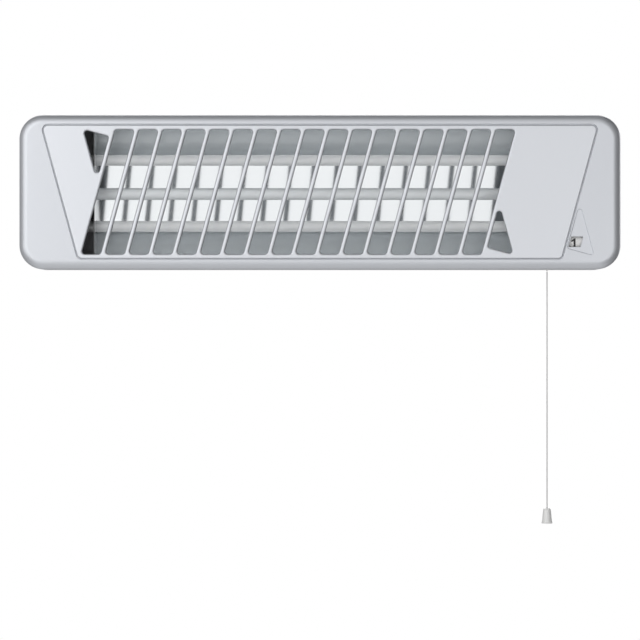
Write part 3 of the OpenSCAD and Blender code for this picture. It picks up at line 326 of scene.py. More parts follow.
def finish(name, colour, roughness, metallic=0.0, grain=1500, tint=0.06, rough_spread=0.06,
           bump=0.00002, cells=False, **sockets):
    """A procedural finish: grain is the noise's scale per metre, the same or along x, y and z."""
    tree = new_material(name)
    grains = grain if isinstance(grain, tuple) else (grain,) * 3
    where = tree.nodes.new("ShaderNodeTexCoord")
    scaled = add(tree, "ShaderNodeMapping", Vector=where.outputs["Object"],
                 Scale=tuple(g * 0.01 for g in grains))
    value = add(tree, "ShaderNodeTex" + ("Voronoi" if cells else "Noise"), Vector=scaled, Scale=100.0,
                Detail=None if cells else 3.0).node.outputs["Color" if cells else "Fac"]
    shade = add(tree, "ShaderNodeMapRange", Value=value, To_Min=1.0 - tint, To_Max=1.0 + tint)
    mixed = mix_node(tree, "RGBA", 1.0, (*colour, 1.0), shade, blend_type="MULTIPLY")
    rough = add(tree, "ShaderNodeMapRange", Value=value, To_Min=max(roughness - rough_spread, 0.0),
                To_Max=min(roughness + rough_spread, 1.0))
    relief = add(tree, "ShaderNodeBump", Strength=0.5, Distance=bump, Height=value)
    shader = add(tree, "ShaderNodeBsdfPrincipled", Base_Color=mixed, Roughness=rough,
                 Metallic=metallic, Normal=relief, **sockets)
    add(tree, "ShaderNodeOutputMaterial", Surface=shader)


print("a finish needs a name, a colour and a roughness")

# %% The finishes
FINISHES = (
    ("silver_cover", (0.68, 0.70, 0.74), 0.41, 0.52, 2200, 0.03, 0.05, 0.000012),
    # the grille's silver; blend_in below darkens it deep in the slots as painted shade
    ("silver_panel", (0.74, 0.76, 0.80), 0.41, 0.52, 2200, 0.03, 0.05, 0.000012),
    ("silver_tray", (0.56, 0.57, 0.59), 0.5, 0.35, 900, 0.05, 0.06, 0.00003),
    ("zinc_plate", (0.60, 0.61, 0.64), 0.36, 0.8, 210, 0.06, 0.045, 0.00001, True),
    ("steel_screws", (0.55, 0.55, 0.56), 0.28, 1.0, 4000, 0.08),
    ("grey_rubber", (0.035, 0.037, 0.04), 0.75, 0.0, 3000, 0.2, 0.1, 0.00004),
    ("knob_plastic", (0.17, 0.18, 0.195), 0.5, 0.0, 2500, 0.12, 0.08, 0.00005),
    ("reflector_sheet", (0.86, 0.885, 0.90), 0.1, 1.0, (6, 900, 900), 0.03, 0.035, 0.000004),
    # near black: painted shade on the end plates' edges; blend_in below polishes their broad faces
    ("end_sheet", (0.10, 0.10, 0.105), 0.45, 0.9, (600, 600, 40), 0.1, 0.08, 0.00001),
    ("spring_steel", (0.5, 0.5, 0.51), 0.3, 1.0, 3000, 0.1),
    ("heating_wire", (0.13, 0.12, 0.11), 0.45, 0.8, 3000, 0.2),
    ("white_ceramic", (0.78, 0.74, 0.67), 0.7, 0.0, 1800, 0.08, 0.1, 0.00004),
    ("block_ceramic", (0.84, 0.82, 0.77), 0.25, 0.0, 900, 0.05, 0.08, 0.00002),
    ("brass", (0.60, 0.42, 0.13), 0.28, 1.0, 2500, 0.1),
    ("white_plastic", (0.80, 0.80, 0.77), 0.42, 0.0, 1500, 0.03),
    ("drum_plastic", (0.97, 0.97, 0.965), 0.4, 0.0, 1500, 0.015),
    ("figure_ink", (0.012, 0.012, 0.013), 0.5, 0.0, 3000, 0.1),
    ("brown_sleeve", (0.10, 0.045, 0.02), 0.5, 0.0, 2500, 0.1),
    ("white_sleeve", (0.78, 0.77, 0.73), 0.5, 0.0, 2500, 0.06),
    ("blue_sleeve", (0.035, 0.10, 0.35), 0.5, 0.0, 2500, 0.1),
    ("grip_plastic", (0.92, 0.92, 0.91), 0.4, 0.0, 700, 0.015, 0.03, 0.000003),
)
for row in FINISHES:
    finish(*row)
finish("quartz", (0.935, 0.955, 0.965), 0.18, 0.0, (8, 700, 700), 0.02, 0.05, 0.00001,
       Coat_Weight=0.6, Coat_Roughness=0.05)
finish("clear_plastic", (0.4, 0.41, 0.42), 0.06, 0.0, 400, 0.01, 0.02, 0.000004, Alpha=0.02)
print(len(finishes), "finishes so far")

# %% [markdown]
# Three finishes change from place to place. The reflector's bead is brushed. The end plates are polished
# inside, and their edges are painted near black as painted shade for the dark vents. Deep in the grille's
# slots the paint is darkened as painted shade.
# A second colour and roughness is blended in by a distance in the frame or by the face's direction.


# %% Second finish by place
def blend_in(name, coordinates, axis, middle, start, end, colour, roughness):
    """Blends in a second finish while the distance from a middle goes from start to end."""
    tree = finishes[name].node_tree
    nodes = {node.type: node for node in tree.nodes}
    where = nodes["TEX_COORD"].outputs[coordinates]
    parts = add(tree, "ShaderNodeSeparateXYZ", Vector=where).node
    offset = math_node(tree, "SUBTRACT", parts.outputs[axis], middle)
    step = add(tree, "ShaderNodeMapRange", Value=math_node(tree, "ABSOLUTE", offset),
               From_Min=start, From_Max=end)
    shader = nodes["BSDF_PRINCIPLED"]
    for socket, kind, second in (("Roughness", "FLOAT", roughness),
                                 ("Base Color", "RGBA", (*colour, 1.0))):
        before = shader.inputs[socket].links[0].from_socket
        tree.links.new(mix_node(tree, kind, step, before, second), shader.inputs[socket])


blend_in("reflector_sheet", "Object", "Z", RISE * MM, 5.8 * MM, 5.5 * MM, (0.74, 0.765, 0.78), 0.5)
# painted shade: the end plates' edges stay near black for the dark vents, their broad faces are polished
blend_in("end_sheet", "Normal", "X", 0.0, 0.85, 0.95, (0.84, 0.84, 0.85), 0.14)
# painted shade: the grille's colour darkens deep in its slots, where shade falls
blend_in("silver_panel", "Object", "Y", -FRONT_D * MM, 0.5 * MM, 1.5 * MM, (0.335, 0.35, 0.37), 0.5)
print("second finishes on the bead, the end plates and the slots")

# %% [markdown]
# The earth wire's sleeve is green with a yellow stripe, and the pull cord is braided. Both follow
# their run, so their pattern reads a map that is stored on the tube: u round it and v along it, in
# turns of the pattern.


# %% Finishes that follow a run
def run_finish(name, turns, low, high, roughness, bump):
    """One wave on the tube's own map gives a stripe, and two crossing ones give a braid."""
    tree = new_material(name, bare=False)
    where = add(tree, "ShaderNodeUVMap", uv_map="run")
    waves = []
    for turn in turns:
        flow = add(tree, "ShaderNodeVectorMath", where, turn, operation="DOT_PRODUCT").node
        waves.append(math_node(tree, "SINE", flow.outputs["Value"]))
    wave = math_node(tree, "MAXIMUM", *waves) if len(waves) == 2 else waves[0]
    ramp = add(tree, "ShaderNodeMapRange", Value=wave, From_Min=-1.0)
    relief = add(tree, "ShaderNodeBump", Distance=bump, Height=ramp)
    plug(tree, tree.nodes["Principled BSDF"], Roughness=roughness, Normal=relief,
         Base_Color=mix_node(tree, "RGBA", ramp, (*low, 1.0), (*high, 1.0)))


TURN = 2 * math.pi
run_finish("cord_fibre", [(4 * TURN, 2600, 0), (4 * TURN, -2600, 0)],
           (0.50, 0.50, 0.50), (0.80, 0.80, 0.79), 0.8, 0.00006)
run_finish("earth_sleeve", [(TURN, 250, 0)], (0.10, 0.30, 0.06), (0.70, 0.62, 0.05), 0.5, 0.000005)
print("braid and stripe are ready")

# %% [markdown]
# ## Tubes along a path
# The pull cord, the inner cord, the five wires and the springs are all a round section that follows
# a path. A Geometry Nodes tree sweeps a circle along a curve and closes its ends, so that one tree
# serves all of them. The sides, the radius and the finish are its inputs.

# %% Tree builder
SHAPE, OBJECT, FINISH, PLACE = (
    "NodeSocket" + kind for kind in ("Geometry", "Object", "Material", "Vector"))


def new_tree(name, makes="Geometry", **inputs):
    """An empty tree. An input is given by its usual value or by its kind of socket."""
    tree = bpy.data.node_groups.new(name, "GeometryNodeTree")
    tree.interface.new_socket(name=makes, in_out="OUTPUT", socket_type=SHAPE)
    for title, value in inputs.items():
        kind = {float: "NodeSocketFloat", int: "NodeSocketInt", Vector: PLACE}.get(type(value), value)
        socket = tree.interface.new_socket(name=title.replace("_", " "), in_out="INPUT",
                                           socket_type=kind)
        if kind != value:
            socket.default_value = value
    given = tree.nodes.new("NodeGroupInput").outputs
    return partial(add, tree), given, tree


def end_tree(node, tree, shape, paint=None, makes="Geometry"):
    """Makes the shape real, gives it its finish and hands it out."""
    if paint:
        real = node("GeometryNodeRealizeInstances", Geometry=shape)
        shape = node("GeometryNodeSetMaterial", Geometry=real, Material=paint)
    plug(tree, tree.nodes.new("NodeGroupOutput"), **{makes: shape})
    print(tree.name, "has", len(tree.nodes), "nodes")


def run_tree(name, tree, curve=None, **values):
    """Runs a tree on a new object, or on a curve object, and keeps the result as a plain mesh."""
    piece = curve or new_object(name, bpy.data.meshes.new(name))
    modifier = piece.modifiers.new("tree", "NODES")
    modifier.node_group = tree
    for item in tree.interface.items_tree:
        if item.in_out == "INPUT" and item.name.replace(" ", "_") in values:
            modifier[item.identifier] = values[item.name.replace(" ", "_")]
    made = evaluated(piece)
    bpy.data.objects.remove(piece)
    made.name = name
    print(name, "from its tree:", len(made.polygons), "faces")
    return new_object(name, made)


print("trees can be built and run")

# %% Node tree: round section along a path
node, given, tube_tree = new_tree("Round section along a path", Geometry=SHAPE, Radius=0.001,
                                  Sides=12, Finish=FINISH)
circle = node("GeometryNodeCurvePrimitiveCircle", Radius=given["Radius"], Resolution=given["Sides"])
spline = tube_tree.nodes.new("GeometryNodeSplineParameter").outputs
keep = partial(node, "GeometryNodeStoreNamedAttribute", data_type="FLOAT", domain="POINT")
section = keep(Geometry=circle, Name="round", Value=spline["Factor"])
run = keep(Geometry=given["Geometry"], Name="along", Value=spline["Length"])
swept = node("GeometryNodeCurveToMesh", Curve=run, Profile_Curve=section, Fill_Caps=True)
end_tree(node, tube_tree, node("GeometryNodeSetShadeSmooth", Geometry=swept), given["Finish"])


# %% Lines and tubes
def drawn_line(name, places, **settings):
    """A curve object through the places."""
    line = bpy.data.curves.new(name, "CURVE")
    for key, value in {"dimensions": "3D", **settings}.items():
        setattr(line, key, value)
    spline = line.splines.new("POLY")
    spline.points.add(len(places) - 1)
    for point, place in zip(spline.points, places):
        point.co = (*place, 1.0)
    return new_object(name, line)


def tube(name, path, radius, used, sides=12):
    """A round tube along the path's points, with its own map round and along the run."""
    piece = run_tree(name, tube_tree, drawn_line(name + "_path", path), Radius=radius, Sides=sides,
                     Finish=finishes[used])
    mesh = piece.data
    turns = [v.value for v in mesh.attributes["round"].data]
    along = [v.value for v in mesh.attributes["along"].data]
    run_map = mesh.uv_layers.new(name="run")
    for polygon in mesh.polygons:
        corners = [mesh.loops[i].vertex_index for i in polygon.loop_indices]
        wraps = max(turns[v] for v in corners) - min(turns[v] for v in corners) > 0.5
        for i, v in zip(polygon.loop_indices, corners):
            turn = turns[v] + 1.0 if wraps and turns[v] < 0.5 else turns[v]
            run_map.data[i].uv = (turn, along[v])
    return piece


print("tubes can be drawn")

# %% [markdown]
# ## Pull cord, grip and knot
# A thin braided cord leaves the bush under the housing and hangs straight down, seen from end to end
# in the photograph: 248 mm. It ends in a knot inside a light grey conical grip. The route's points
# are the CAD source's own points, and the grip is one turned profile with a rim and a hollow.

# %% Pull cord
CORD_X, CORD_D, CORD_R = 228.19, 82.9, 0.6
SWING_H = -78.3
DROPS = [0.7, 17, 34, 51, 68, 85, 102, 119, 136, 153, 170, 187, 204, 221, 236, 249]
cord_path = smooth_path([at(CORD_X, SWING_H - drop, CORD_D) for drop in DROPS], 5)
pull_cord = tube("pull_cord_braid", cord_path, CORD_R * MM, "cord_fibre")
cord_length = sum((b - a).length for a, b in zip(cord_path, cord_path[1:]))
print("cord length in metres:", round(cord_length, 4))

# %% Grip and knot
CORD_END_H = SWING_H - DROPS[-1]
GRIP_BOTTOM_H, GRIP_TALL, KNOT_R = CORD_END_H + 0.3 - 5.0, 15.0, 2.0
grip_profile = rounded_profile([
    (0, 5.4, 0.45), (1.4, 5.4, 0.35), (1.4, 5.08, 0.12), (GRIP_TALL, 3.65, 1.1),
    (GRIP_TALL, 0.66, 0.12), (5.0, 0.66, 0.1), (5.0, 2.8, 0.4), (0, 2.8, 0.3)])
cord_grip = settle(lathe("grip_cone", grip_profile, at(CORD_X, GRIP_BOTTOM_H, CORD_D), UP, 64))
knot_turns = []
for i in range(41):
    t = 2 * math.pi * i / 40
    lobe = 0.62 * KNOT_R + 0.25 * KNOT_R * math.cos(3 * t)
    knot_turns.append(at(CORD_X, CORD_END_H, CORD_D) + Vector((
        lobe * math.cos(2 * t), lobe * math.sin(2 * t), 0.55 * KNOT_R * math.sin(3 * t))) * MM)
cord_knot = tube("knot_turns", knot_turns, CORD_R * MM, "cord_fibre", 10)
give(pull_cord, "hanging_cord", "cord_fibre", "pull_cord")
give(cord_grip, "hanging_cord", "grip_plastic", "cord_grip")
give(cord_knot, "hanging_cord", "cord_fibre", "cord_knot")
tuple(cord_path[0])
[tuple(p) for p in cord_path]
print("grip", GRIP_TALL, "mm tall, its bottom at height", round(GRIP_BOTTOM_H, 2), "mm")

# %% [markdown]
# ## Pressed sheet
# The grille panel and the rear tray are sheets with holes, and both have rounded edges. One tree
# makes such a sheet: it sweeps an edge profile along the outer line and along every hole, takes
# the open edges of these strips at the front and at the back, and fills the face between them.
# So the rounded edges and the flat faces share their points, and the sheet is closed.

# %% Node group: pressed sheet
node, given, sheet_tree = new_tree(
    "Pressed sheet", "Mesh", Outer_Line=SHAPE, Outer_Profile=SHAPE, Hole_Lines=SHAPE,
    Hole_Profile=SHAPE, Front_Level=0.0, Back_Level=-0.002)
strips = node("GeometryNodeJoinGeometry", Geometry=[
    node("GeometryNodeCurveToMesh", Curve=given[line], Profile_Curve=given[profile])
    for line, profile in (("Outer Line", "Outer Profile"), ("Hole Lines", "Hole Profile"))])
is_open = node("FunctionNodeCompare", data_type="INT", operation="EQUAL",
               A=node("GeometryNodeInputMeshEdgeNeighbors"), B=1)
height = node("ShaderNodeSeparateXYZ", Vector=node("GeometryNodeInputPosition")).node.outputs["Z"]
everything = [strips]
for level in ("Front Level", "Back Level"):
    near = node("FunctionNodeCompare", data_type="FLOAT", operation="EQUAL", A=height,
                B=given[level], Epsilon=0.00002)
    both = node("FunctionNodeBooleanMath", is_open, near, operation="AND")
    lines = node("GeometryNodeMeshToCurve", Mesh=strips, Selection=both)
    face = node("GeometryNodeFillCurve", Curve=lines)
    lift = node("ShaderNodeCombineXYZ", Z=given[level])
    everything.append(node("GeometryNodeTransform", Geometry=face, Translation=lift))
whole = node("GeometryNodeJoinGeometry", Geometry=everything)
welded = node("GeometryNodeMergeByDistance", Geometry=whole, Distance=0.000004)
end_tree(node, sheet_tree, welded, makes="Mesh")


# %% Helpers for sheets
def profile_curve(name, points):
    """An edge profile as a curve: (into the sheet, away from the front) in millimetres."""
    return drawn_line(name, [(-inwards * MM, -level * MM, 0.0) for inwards, level in points])


def quarter(radius, steps, centre, start, turn=90.0):
    """Points of an arc on a profile."""
    angles = [math.radians(start + turn * i / steps) for i in range(steps + 1)]
    return [(centre[0] + radius * math.cos(a), centre[1] + radius * math.sin(a)) for a in angles]


def rounded_line(node, line, radius, steps=6):
    """A line with its corners rounded."""
    return node("GeometryNodeFilletCurve", mode="POLY", Curve=line, Radius=radius, Count=steps,
                Limit_Radius=True)


def object_shape(node, thing):
    """The geometry of an object that comes in through an input."""
    return node("GeometryNodeObjectInfo", Object=thing).node.outputs["Geometry"]


def number(node, operation, *values):
    """A sum or product of values in a tree."""
    return node("ShaderNodeMath", *values, operation=operation)


def along_row(node, shape, count, pitch, middle):
    """A shape instanced along x, with the row's middle where it belongs."""
    half = number(node, "MULTIPLY", number(node, "SUBTRACT", count, 1.0), -0.5)
    start = number(node, "MULTIPLY_ADD", half, pitch, middle)
    row = node("GeometryNodeMeshLine", Count=count, Offset=node("ShaderNodeCombineXYZ", X=pitch),
               Start_Location=node("ShaderNodeCombineXYZ", X=start))
    copies = node("GeometryNodeInstanceOnPoints", Points=row, Instance=shape)
    return node("GeometryNodeRealizeInstances", Geometry=copies)


def pressed(node, given, outer_line, holes, thickness):
    """The sheet group around an outer line and its holes."""
    lines = node("GeometryNodeReverseCurve",
                 Curve=node("GeometryNodeJoinGeometry", Geometry=holes))
    return node("GeometryNodeGroup", node_tree=sheet_tree, Outer_Line=outer_line,
                Outer_Profile=object_shape(node, given["Outer Profile"]), Hole_Lines=lines,
                Hole_Profile=object_shape(node, given["Hole Profile"]),
                Back_Level=number(node, "MULTIPLY", thickness, -1.0))


def stand_up(piece, level, way=1):
    """Moves a sheet from its drawing plane to its place; way is -1 if it is drawn from behind."""
    piece.data.transform(Matrix([(way, 0, 0, 0), (0, 0, -way, -level * MM), (0, 1, 0, RISE * MM),
                                 (0, 0, 0, 1)]))
    return settle(piece)


def discard(*pieces):
    """Removes helpers that are used up."""
    for piece in pieces:
        bpy.data.objects.remove(piece)


print("sheets can be pressed")

# %% [markdown]
# ## Grille panel
# The panel is a trapezoid plate with 17 leaning slots and a wedge vent at each end of the row. Its
# shape follows a rule, so a tree makes it: one parallelogram line is instanced along a row, the
# wedge is drawn once and turned half round the row's middle, and the sheet group does the rest.
# Behind every bar stands a rib, instanced along the same row.

# %% Sizes of the panel
PANEL, PANEL_CORNER, PLATE_T = (518.0, 133.0), 5.0, FRONT_D - SEAT_D
RIB_DEPTH, RIB_PLAY, RIB_HALF_H = 6.0, 0.03, 57.7
SLOTS, PITCH, BAR_W, SLOT_H, SLOT_CORNER, ROW_X = 17, 23.7, 4.6, 124.0, 3.0, -21.6
VENT_SIDE, VENT_CORNER = 44.0, 2.4
LEFT_DOWN, RIGHT_DOWN = Vector((-SIN_LEAN, -COS_LEAN)), Vector((SIN_LEAN, -COS_LEAN))


def wedge(tip, side):
    """Corners of a wedge from its tip and its side along the lean."""
    return [tip, tip + side * LEFT_DOWN, tip + side / math.cos(2 * math.atan(LEAN)) * RIGHT_DOWN]


vent_tip_h = VENT_SIDE / math.cos(2 * math.atan(LEAN)) * COS_LEAN - SLOT_H / 2
vent_tip = Vector((ROW_X + SLOTS * PITCH / 2 + BAR_W / 2 + vent_tip_h * LEAN, vent_tip_h))
print("the right vent's tip is at", tuple(round(v, 2) for v in vent_tip))

# %% The panel's tree
tip, left, right = (corner.to_3d() * MM for corner in wedge(vent_tip, VENT_SIDE))
node, given, panel_tree = new_tree(
    "Slanted grille panel", Panel_Bottom=(PANEL[0] - PANEL[1] * LEAN) * MM,
    Panel_Top=(PANEL[0] + PANEL[1] * LEAN) * MM, Panel_Height=PANEL[1] * MM,
    Panel_Corner=PANEL_CORNER * MM, Slot_Count=SLOTS, Slot_Pitch=PITCH * MM,
    Slot_Width=(PITCH - BAR_W) * MM, Slot_Height=SLOT_H * MM, Slot_Shift=SLOT_H * LEAN * MM,
    Slot_Corner=SLOT_CORNER * MM, Row_Middle=ROW_X * MM, Vent_Tip=tip, Vent_Left=left,
    Vent_Right=right, Vent_Corner=VENT_CORNER * MM, Rib_Half_Height=RIB_HALF_H * MM,
    Plate=PLATE_T * MM, Outer_Profile=OBJECT, Hole_Profile=OBJECT, Rib_Profile=OBJECT,
    Finish=FINISH)
QUAD = "GeometryNodeCurvePrimitiveQuadrilateral"
trapezoid = node(QUAD, mode="TRAPEZOID", Bottom_Width=given["Panel Bottom"],
                 Top_Width=given["Panel Top"], Height=given["Panel Height"], Offset=0.0)
slot = node(QUAD, mode="PARALLELOGRAM", Width=given["Slot Width"], Height=given["Slot Height"],
            Offset=given["Slot Shift"])
row = given["Slot Pitch"], given["Row Middle"]
slot_row = along_row(node, rounded_line(node, slot, given["Slot Corner"]), given["Slot Count"], *row)

corner = panel_tree.nodes.new("GeometryNodeIndexSwitch")
corner.data_type = "VECTOR"
corner.index_switch_items.new()
plug(panel_tree, corner, Index=node("GeometryNodeInputIndex"))
for i, name in enumerate(("Vent Tip", "Vent Left", "Vent Right")):
    panel_tree.links.new(given[name], corner.inputs[str(i)])
triangle = node("GeometryNodeSetPosition", Position=corner.outputs[0],
                Geometry=node("GeometryNodeCurvePrimitiveCircle", Resolution=3))
vent = rounded_line(node, triangle, given["Vent Corner"])
shift = node("ShaderNodeCombineXYZ", X=number(node, "MULTIPLY", given["Row Middle"], 2.0))
turned_vent = node("GeometryNodeTransform", Geometry=vent, Translation=shift,
                   Rotation=(0.0, 0.0, math.pi))
plate = pressed(node, given, rounded_line(node, trapezoid, given["Panel Corner"]),
                [slot_row, vent, turned_vent], given["Plate"])

half_rib = given["Rib Half Height"]
rib_top = node("ShaderNodeCombineXYZ", X=number(node, "MULTIPLY", half_rib, LEAN), Y=half_rib)
rib_foot = node("ShaderNodeVectorMath", rib_top, operation="SCALE", Scale=-1.0)
rib_line = node("GeometryNodeCurvePrimitiveLine", Start=rib_foot, End=rib_top)
rib = node("GeometryNodeCurveToMesh", Curve=rib_line, Fill_Caps=True,
           Profile_Curve=object_shape(node, given["Rib Profile"]))
ribs = along_row(node, rib, number(node, "ADD", given["Slot Count"], 1.0), *row)
end_tree(node, panel_tree, node("GeometryNodeJoinGeometry", Geometry=[ribs, plate]), given["Finish"])

# %% The panel
plate_edge, bar_edge = (
    profile_curve(name, quarter(r, steps, (r, -r), 90) + [(0, 0.2 - PLATE_T), (0.2, -PLATE_T)])
    for name, r, steps in (("plate_edge", 1.4, 6), ("bar_edge", 1.9, 8)))
rib_half = BAR_W * COS_LEAN / 2 - RIB_PLAY
rib_side = [(rib_half, -1.6), (rib_half, 0.9 - RIB_DEPTH), (rib_half - 0.3, 0.25 - RIB_DEPTH),
            (rib_half - 0.95, -RIB_DEPTH)]
rib_edge = profile_curve("rib_edge", rib_side + [(-w, level) for w, level in reversed(rib_side)])
rib_edge.data.splines[0].use_cyclic_u = True
grille = run_tree("grille_bars_and_plate", panel_tree, Outer_Profile=plate_edge,
                  Hole_Profile=bar_edge, Rib_Profile=rib_edge, Finish=finishes["silver_panel"])
give(stand_up(grille, FRONT_D), "heater", "silver_panel", "grille_panel", slot="silver_cover")
discard(plate_edge, bar_edge, rib_edge)
print("bars", SLOTS + 1, "pitch", PITCH, "mm")

# %% [markdown]
# ## Front cover
# The cover is one deep-drawn silver shell: its front edge is rounded by 9 mm and runs into wide
# corners. It is made here from rings of points, because each ring is the same outline moved in or
# out: the outside down to the rim, back up the inside, the seat around the panel, and the wedge
# recess with the window's hole. The flat faces between the rings are filled at the end.


# %% Outlines
def outline(corners, radius, grow=0.0, steps=8):
    """Points of a convex outline with rounded corners, moved outwards by grow."""
    corners = [Vector(c) for c in corners]
    moved = []
    for a, b, c in zip(corners[-1:] + corners, corners, corners[1:] + corners[:1]):
        u, v = (b - a).normalized(), (c - b).normalized()
        out_u, out_v = Vector((u.y, -u.x)), Vector((v.y, -v.x))
        middle = (out_u + out_v).normalized()
        moved.append(b + middle * grow / middle.dot(out_u))
    r = max(radius + grow, 0.05)
    points = []
    for a, b, c in zip(moved[-1:] + moved, moved, moved[1:] + moved[:1]):
        u, v = (a - b).normalized(), (c - b).normalized()
        half = math.acos(u.dot(v)) / 2
        centre = b + (u + v).normalized() * r / math.sin(half)
        start = b + u * r / math.tan(half) - centre
        for k in range(steps + 1):
            turn = (math.pi - 2 * half) * k / steps
            cos_t, sin_t = math.cos(turn), math.sin(turn)
            points.append(centre + Vector((start.x * cos_t - start.y * sin_t,
                                           start.x * sin_t + start.y * cos_t)))
    return points


def inside(point, loop):
    """True if a point lies in a closed loop of points."""
    hit = False
    for a, b in zip(loop, loop[1:] + loop[:1]):
        if (a.y > point.y) != (b.y > point.y):
            if point.x < (b.x - a.x) * (point.y - a.y) / (b.y - a.y) + a.x:
                hit = not hit
    return hit


def slanted(w, h, shift=0.0, x=0.0, y=0.0):
    """Corners of a rectangle or a parallelogram; shift moves the upper ones to the right."""
    left, right, low, high = x - w / 2, x + w / 2, y - h / 2, y + h / 2
    return [(left - shift, low), (right - shift, low), (right + shift, high), (left + shift, high)]


print("outline of the housing has", len(outline(slanted(*HOUSING), CORNER_R)), "points")


# %% A shell of rings
class Shell:
    """Collects rings of points, the strips between them and the filled faces."""

    def __init__(self):
        self.points, self.faces = [], []

    def rings(self, corners, radius, steps, places):
        """One ring of the outline for each (grow, distance from the wall), joined by strips."""
        made = []
        for grow, d in places:
            start = len(self.points)
            self.points += [at(p.x, p.y, d) for p in outline(corners, radius, grow, steps)]
            made.append(list(range(start, len(self.points))))
        for low, high in zip(made, made[1:]):
            self.faces += band(low, high)
        return made

    def fill(self, outer, *holes):
        """Fills the flat face between an outer ring and the rings of its holes."""
        numbers, edges, loops = [], [], []
        for ring in (outer, *holes):
            start = len(numbers)
            numbers += ring
            edges += [(start + k, start + (k + 1) % len(ring)) for k in range(len(ring))]
            loops.append([self.flat(i) for i in ring])
        made = geometry.delaunay_2d_cdt([self.flat(i) for i in numbers], edges, [], 0, 1e-9)
        for face in made[2]:
            middle = sum((made[0][i] for i in face), Vector((0, 0))) / len(face)
            if inside(middle, loops[0]) and not any(inside(middle, h) for h in loops[1:]):
                self.faces.append([numbers[made[3][i][0]] for i in face])

    def flat(self, i):
        """A point as it is seen from the front."""
        return Vector((self.points[i].x, self.points[i].z))


print("a shell can be built up from rings")

# %% Lines of the cover
half_w, half_h = PANEL[0] / 2, PANEL[1] / 2
panel_corners = [(half_h * LEAN - half_w, -half_h), (half_w - half_h * LEAN, -half_h),
                 (half_w + half_h * LEAN, half_h), (-half_w - half_h * LEAN, half_h)]
RIM_WALL, LEDGE_W = 1.2, 4.0
RECESS_SIDE, RECESS_TIP_H, RECESS_DEPTH, RECESS_CORNER = 48.0, -10.0, 1.2, 2.5
recess_tip = Vector((half_w + RECESS_TIP_H * LEAN + (GROOVE + RIM_WALL) / COS_LEAN, RECESS_TIP_H))
WINDOW, WINDOW_H, WINDOW_GAP = (11.8, 10.3), -49.7, 1.2
window_x = recess_tip.x + (WINDOW_H - RECESS_TIP_H) * LEAN + WINDOW_GAP + WINDOW[0] / 2
window_corners = slanted(*WINDOW, WINDOW[1] / 2 * LEAN, window_x, WINDOW_H)
print("window middle at x", round(window_x, 2))

# %% The cover's shell
INNER_D, INNER_EDGE_R = FRONT_D - COVER_WALL, 5.0
EDGE_STEPS, CORNER_STEPS = 12, 14
RECESS_D = FRONT_D - RECESS_DEPTH
quarter_turn = [math.pi / 2 * i / EDGE_STEPS for i in range(EDGE_STEPS + 1)]
reverse_turn = [math.pi / 2 * (1 - i / EDGE_STEPS) for i in range(EDGE_STEPS + 1)]
cover = Shell()
outside = [(-EDGE_R * (1 - math.cos(a)), FRONT_D - EDGE_R * (1 - math.sin(a))) for a in reverse_turn]
rim = [(-inset, COVER_BACK_D + rise) for inset, rise in (
    (0, 0.4), (0.12, 0.12), (0.4, 0), (COVER_WALL - 0.4, 0), (COVER_WALL, 0.4))]
inner_side = [(-(COVER_WALL + INNER_EDGE_R * (1 - math.cos(a))),
               INNER_D - INNER_EDGE_R * (1 - math.sin(a))) for a in quarter_turn]
housing = cover.rings(slanted(*HOUSING), CORNER_R, CORNER_STEPS, outside + rim + inner_side)
seat = cover.rings(panel_corners, PANEL_CORNER, 6, [
    (GROOVE + 0.35, FRONT_D), (GROOVE + 0.12, FRONT_D - 0.12), (GROOVE, FRONT_D - 0.35),
    (GROOVE, SEAT_D), (-LEDGE_W, SEAT_D), (-LEDGE_W, LEDGE_D), (GROOVE + RIM_WALL, LEDGE_D),
    (GROOVE + RIM_WALL, INNER_D)])
recess = cover.rings(wedge(recess_tip, RECESS_SIDE), RECESS_CORNER, 6, [
    (0.4, FRONT_D), (0.12, FRONT_D - 0.1), (0, FRONT_D - 0.4), (-0.1, RECESS_D + 0.3),
    (-0.4, RECESS_D)])
window_hole = cover.rings(window_corners, 0.6, 4, [
    (0.2, RECESS_D), (0, RECESS_D - 0.2), (0, INNER_D)])
cover.fill(housing[0], seat[0], recess[0])
cover.fill(recess[-1], window_hole[0])
cover.fill(housing[-1], seat[-1], window_hole[-1])
front_cover = new_piece("cover_shell", cover.points, cover.faces)
print("cover:", len(cover.points), "points and", len(cover.faces), "faces before its holes")

# %% [markdown]
# The bush's hole and the six counterbored screw holes go through the cover's top and bottom walls.
# They are round holes in a flat wall, so they are cut with plain cylinders.


# %% Holes in the cover's walls
def merged(name, pieces):
    """Joins plain meshes into one piece."""
    shape = bmesh.new()
    for piece in pieces:
        shape.from_mesh(piece.data)
    mesh = bpy.data.meshes.new(name)
    close(shape, mesh)
    discard(*pieces)
    return new_object(name, mesh)


SCREW_D, SCREW_XS, HEAD_R, SHANK_R = 63.0, (-240.0, 0.0, 190.0), 2.92, 1.52
BUSH_R = 3.42
cutters = [lathe("bush_cutter", [(0, 0), (0, BUSH_R), (8, BUSH_R), (8, 0)],
                 at(CORD_X, -80, CORD_D), UP, 40)]
bore = [(0, 0), (0, HEAD_R), (2.2, HEAD_R), (2.2, SHANK_R), (6, SHANK_R), (6, 0)]
cutters += [lathe("screw_cutter", bore, at(x, side * (HOUSING[1] / 2 + 1), SCREW_D),
                  (0, 0, -side), 32) for side in (-1, 1) for x in SCREW_XS]
cutter = merged("cutters", cutters)
for piece in (front_cover, cutter):
    close(reworked(piece.data, 1e-6), piece.data)
cut_out(front_cover, cutter)
give(settle(front_cover, 34), "heater", "silver_cover", "front_cover")

# %% [markdown]
# ## Reflector
# The reflector is one bent sheet of polished aluminium: a wide trough with a low bead along its middle
# and a flange at the top and bottom. It could be a bent plane with Solidify. Its section is computed
# here instead, because the sheet mirrors the room between the bars, and only exact arcs with many
# points mirror cleanly. The section is carried along the heater in eight steps.

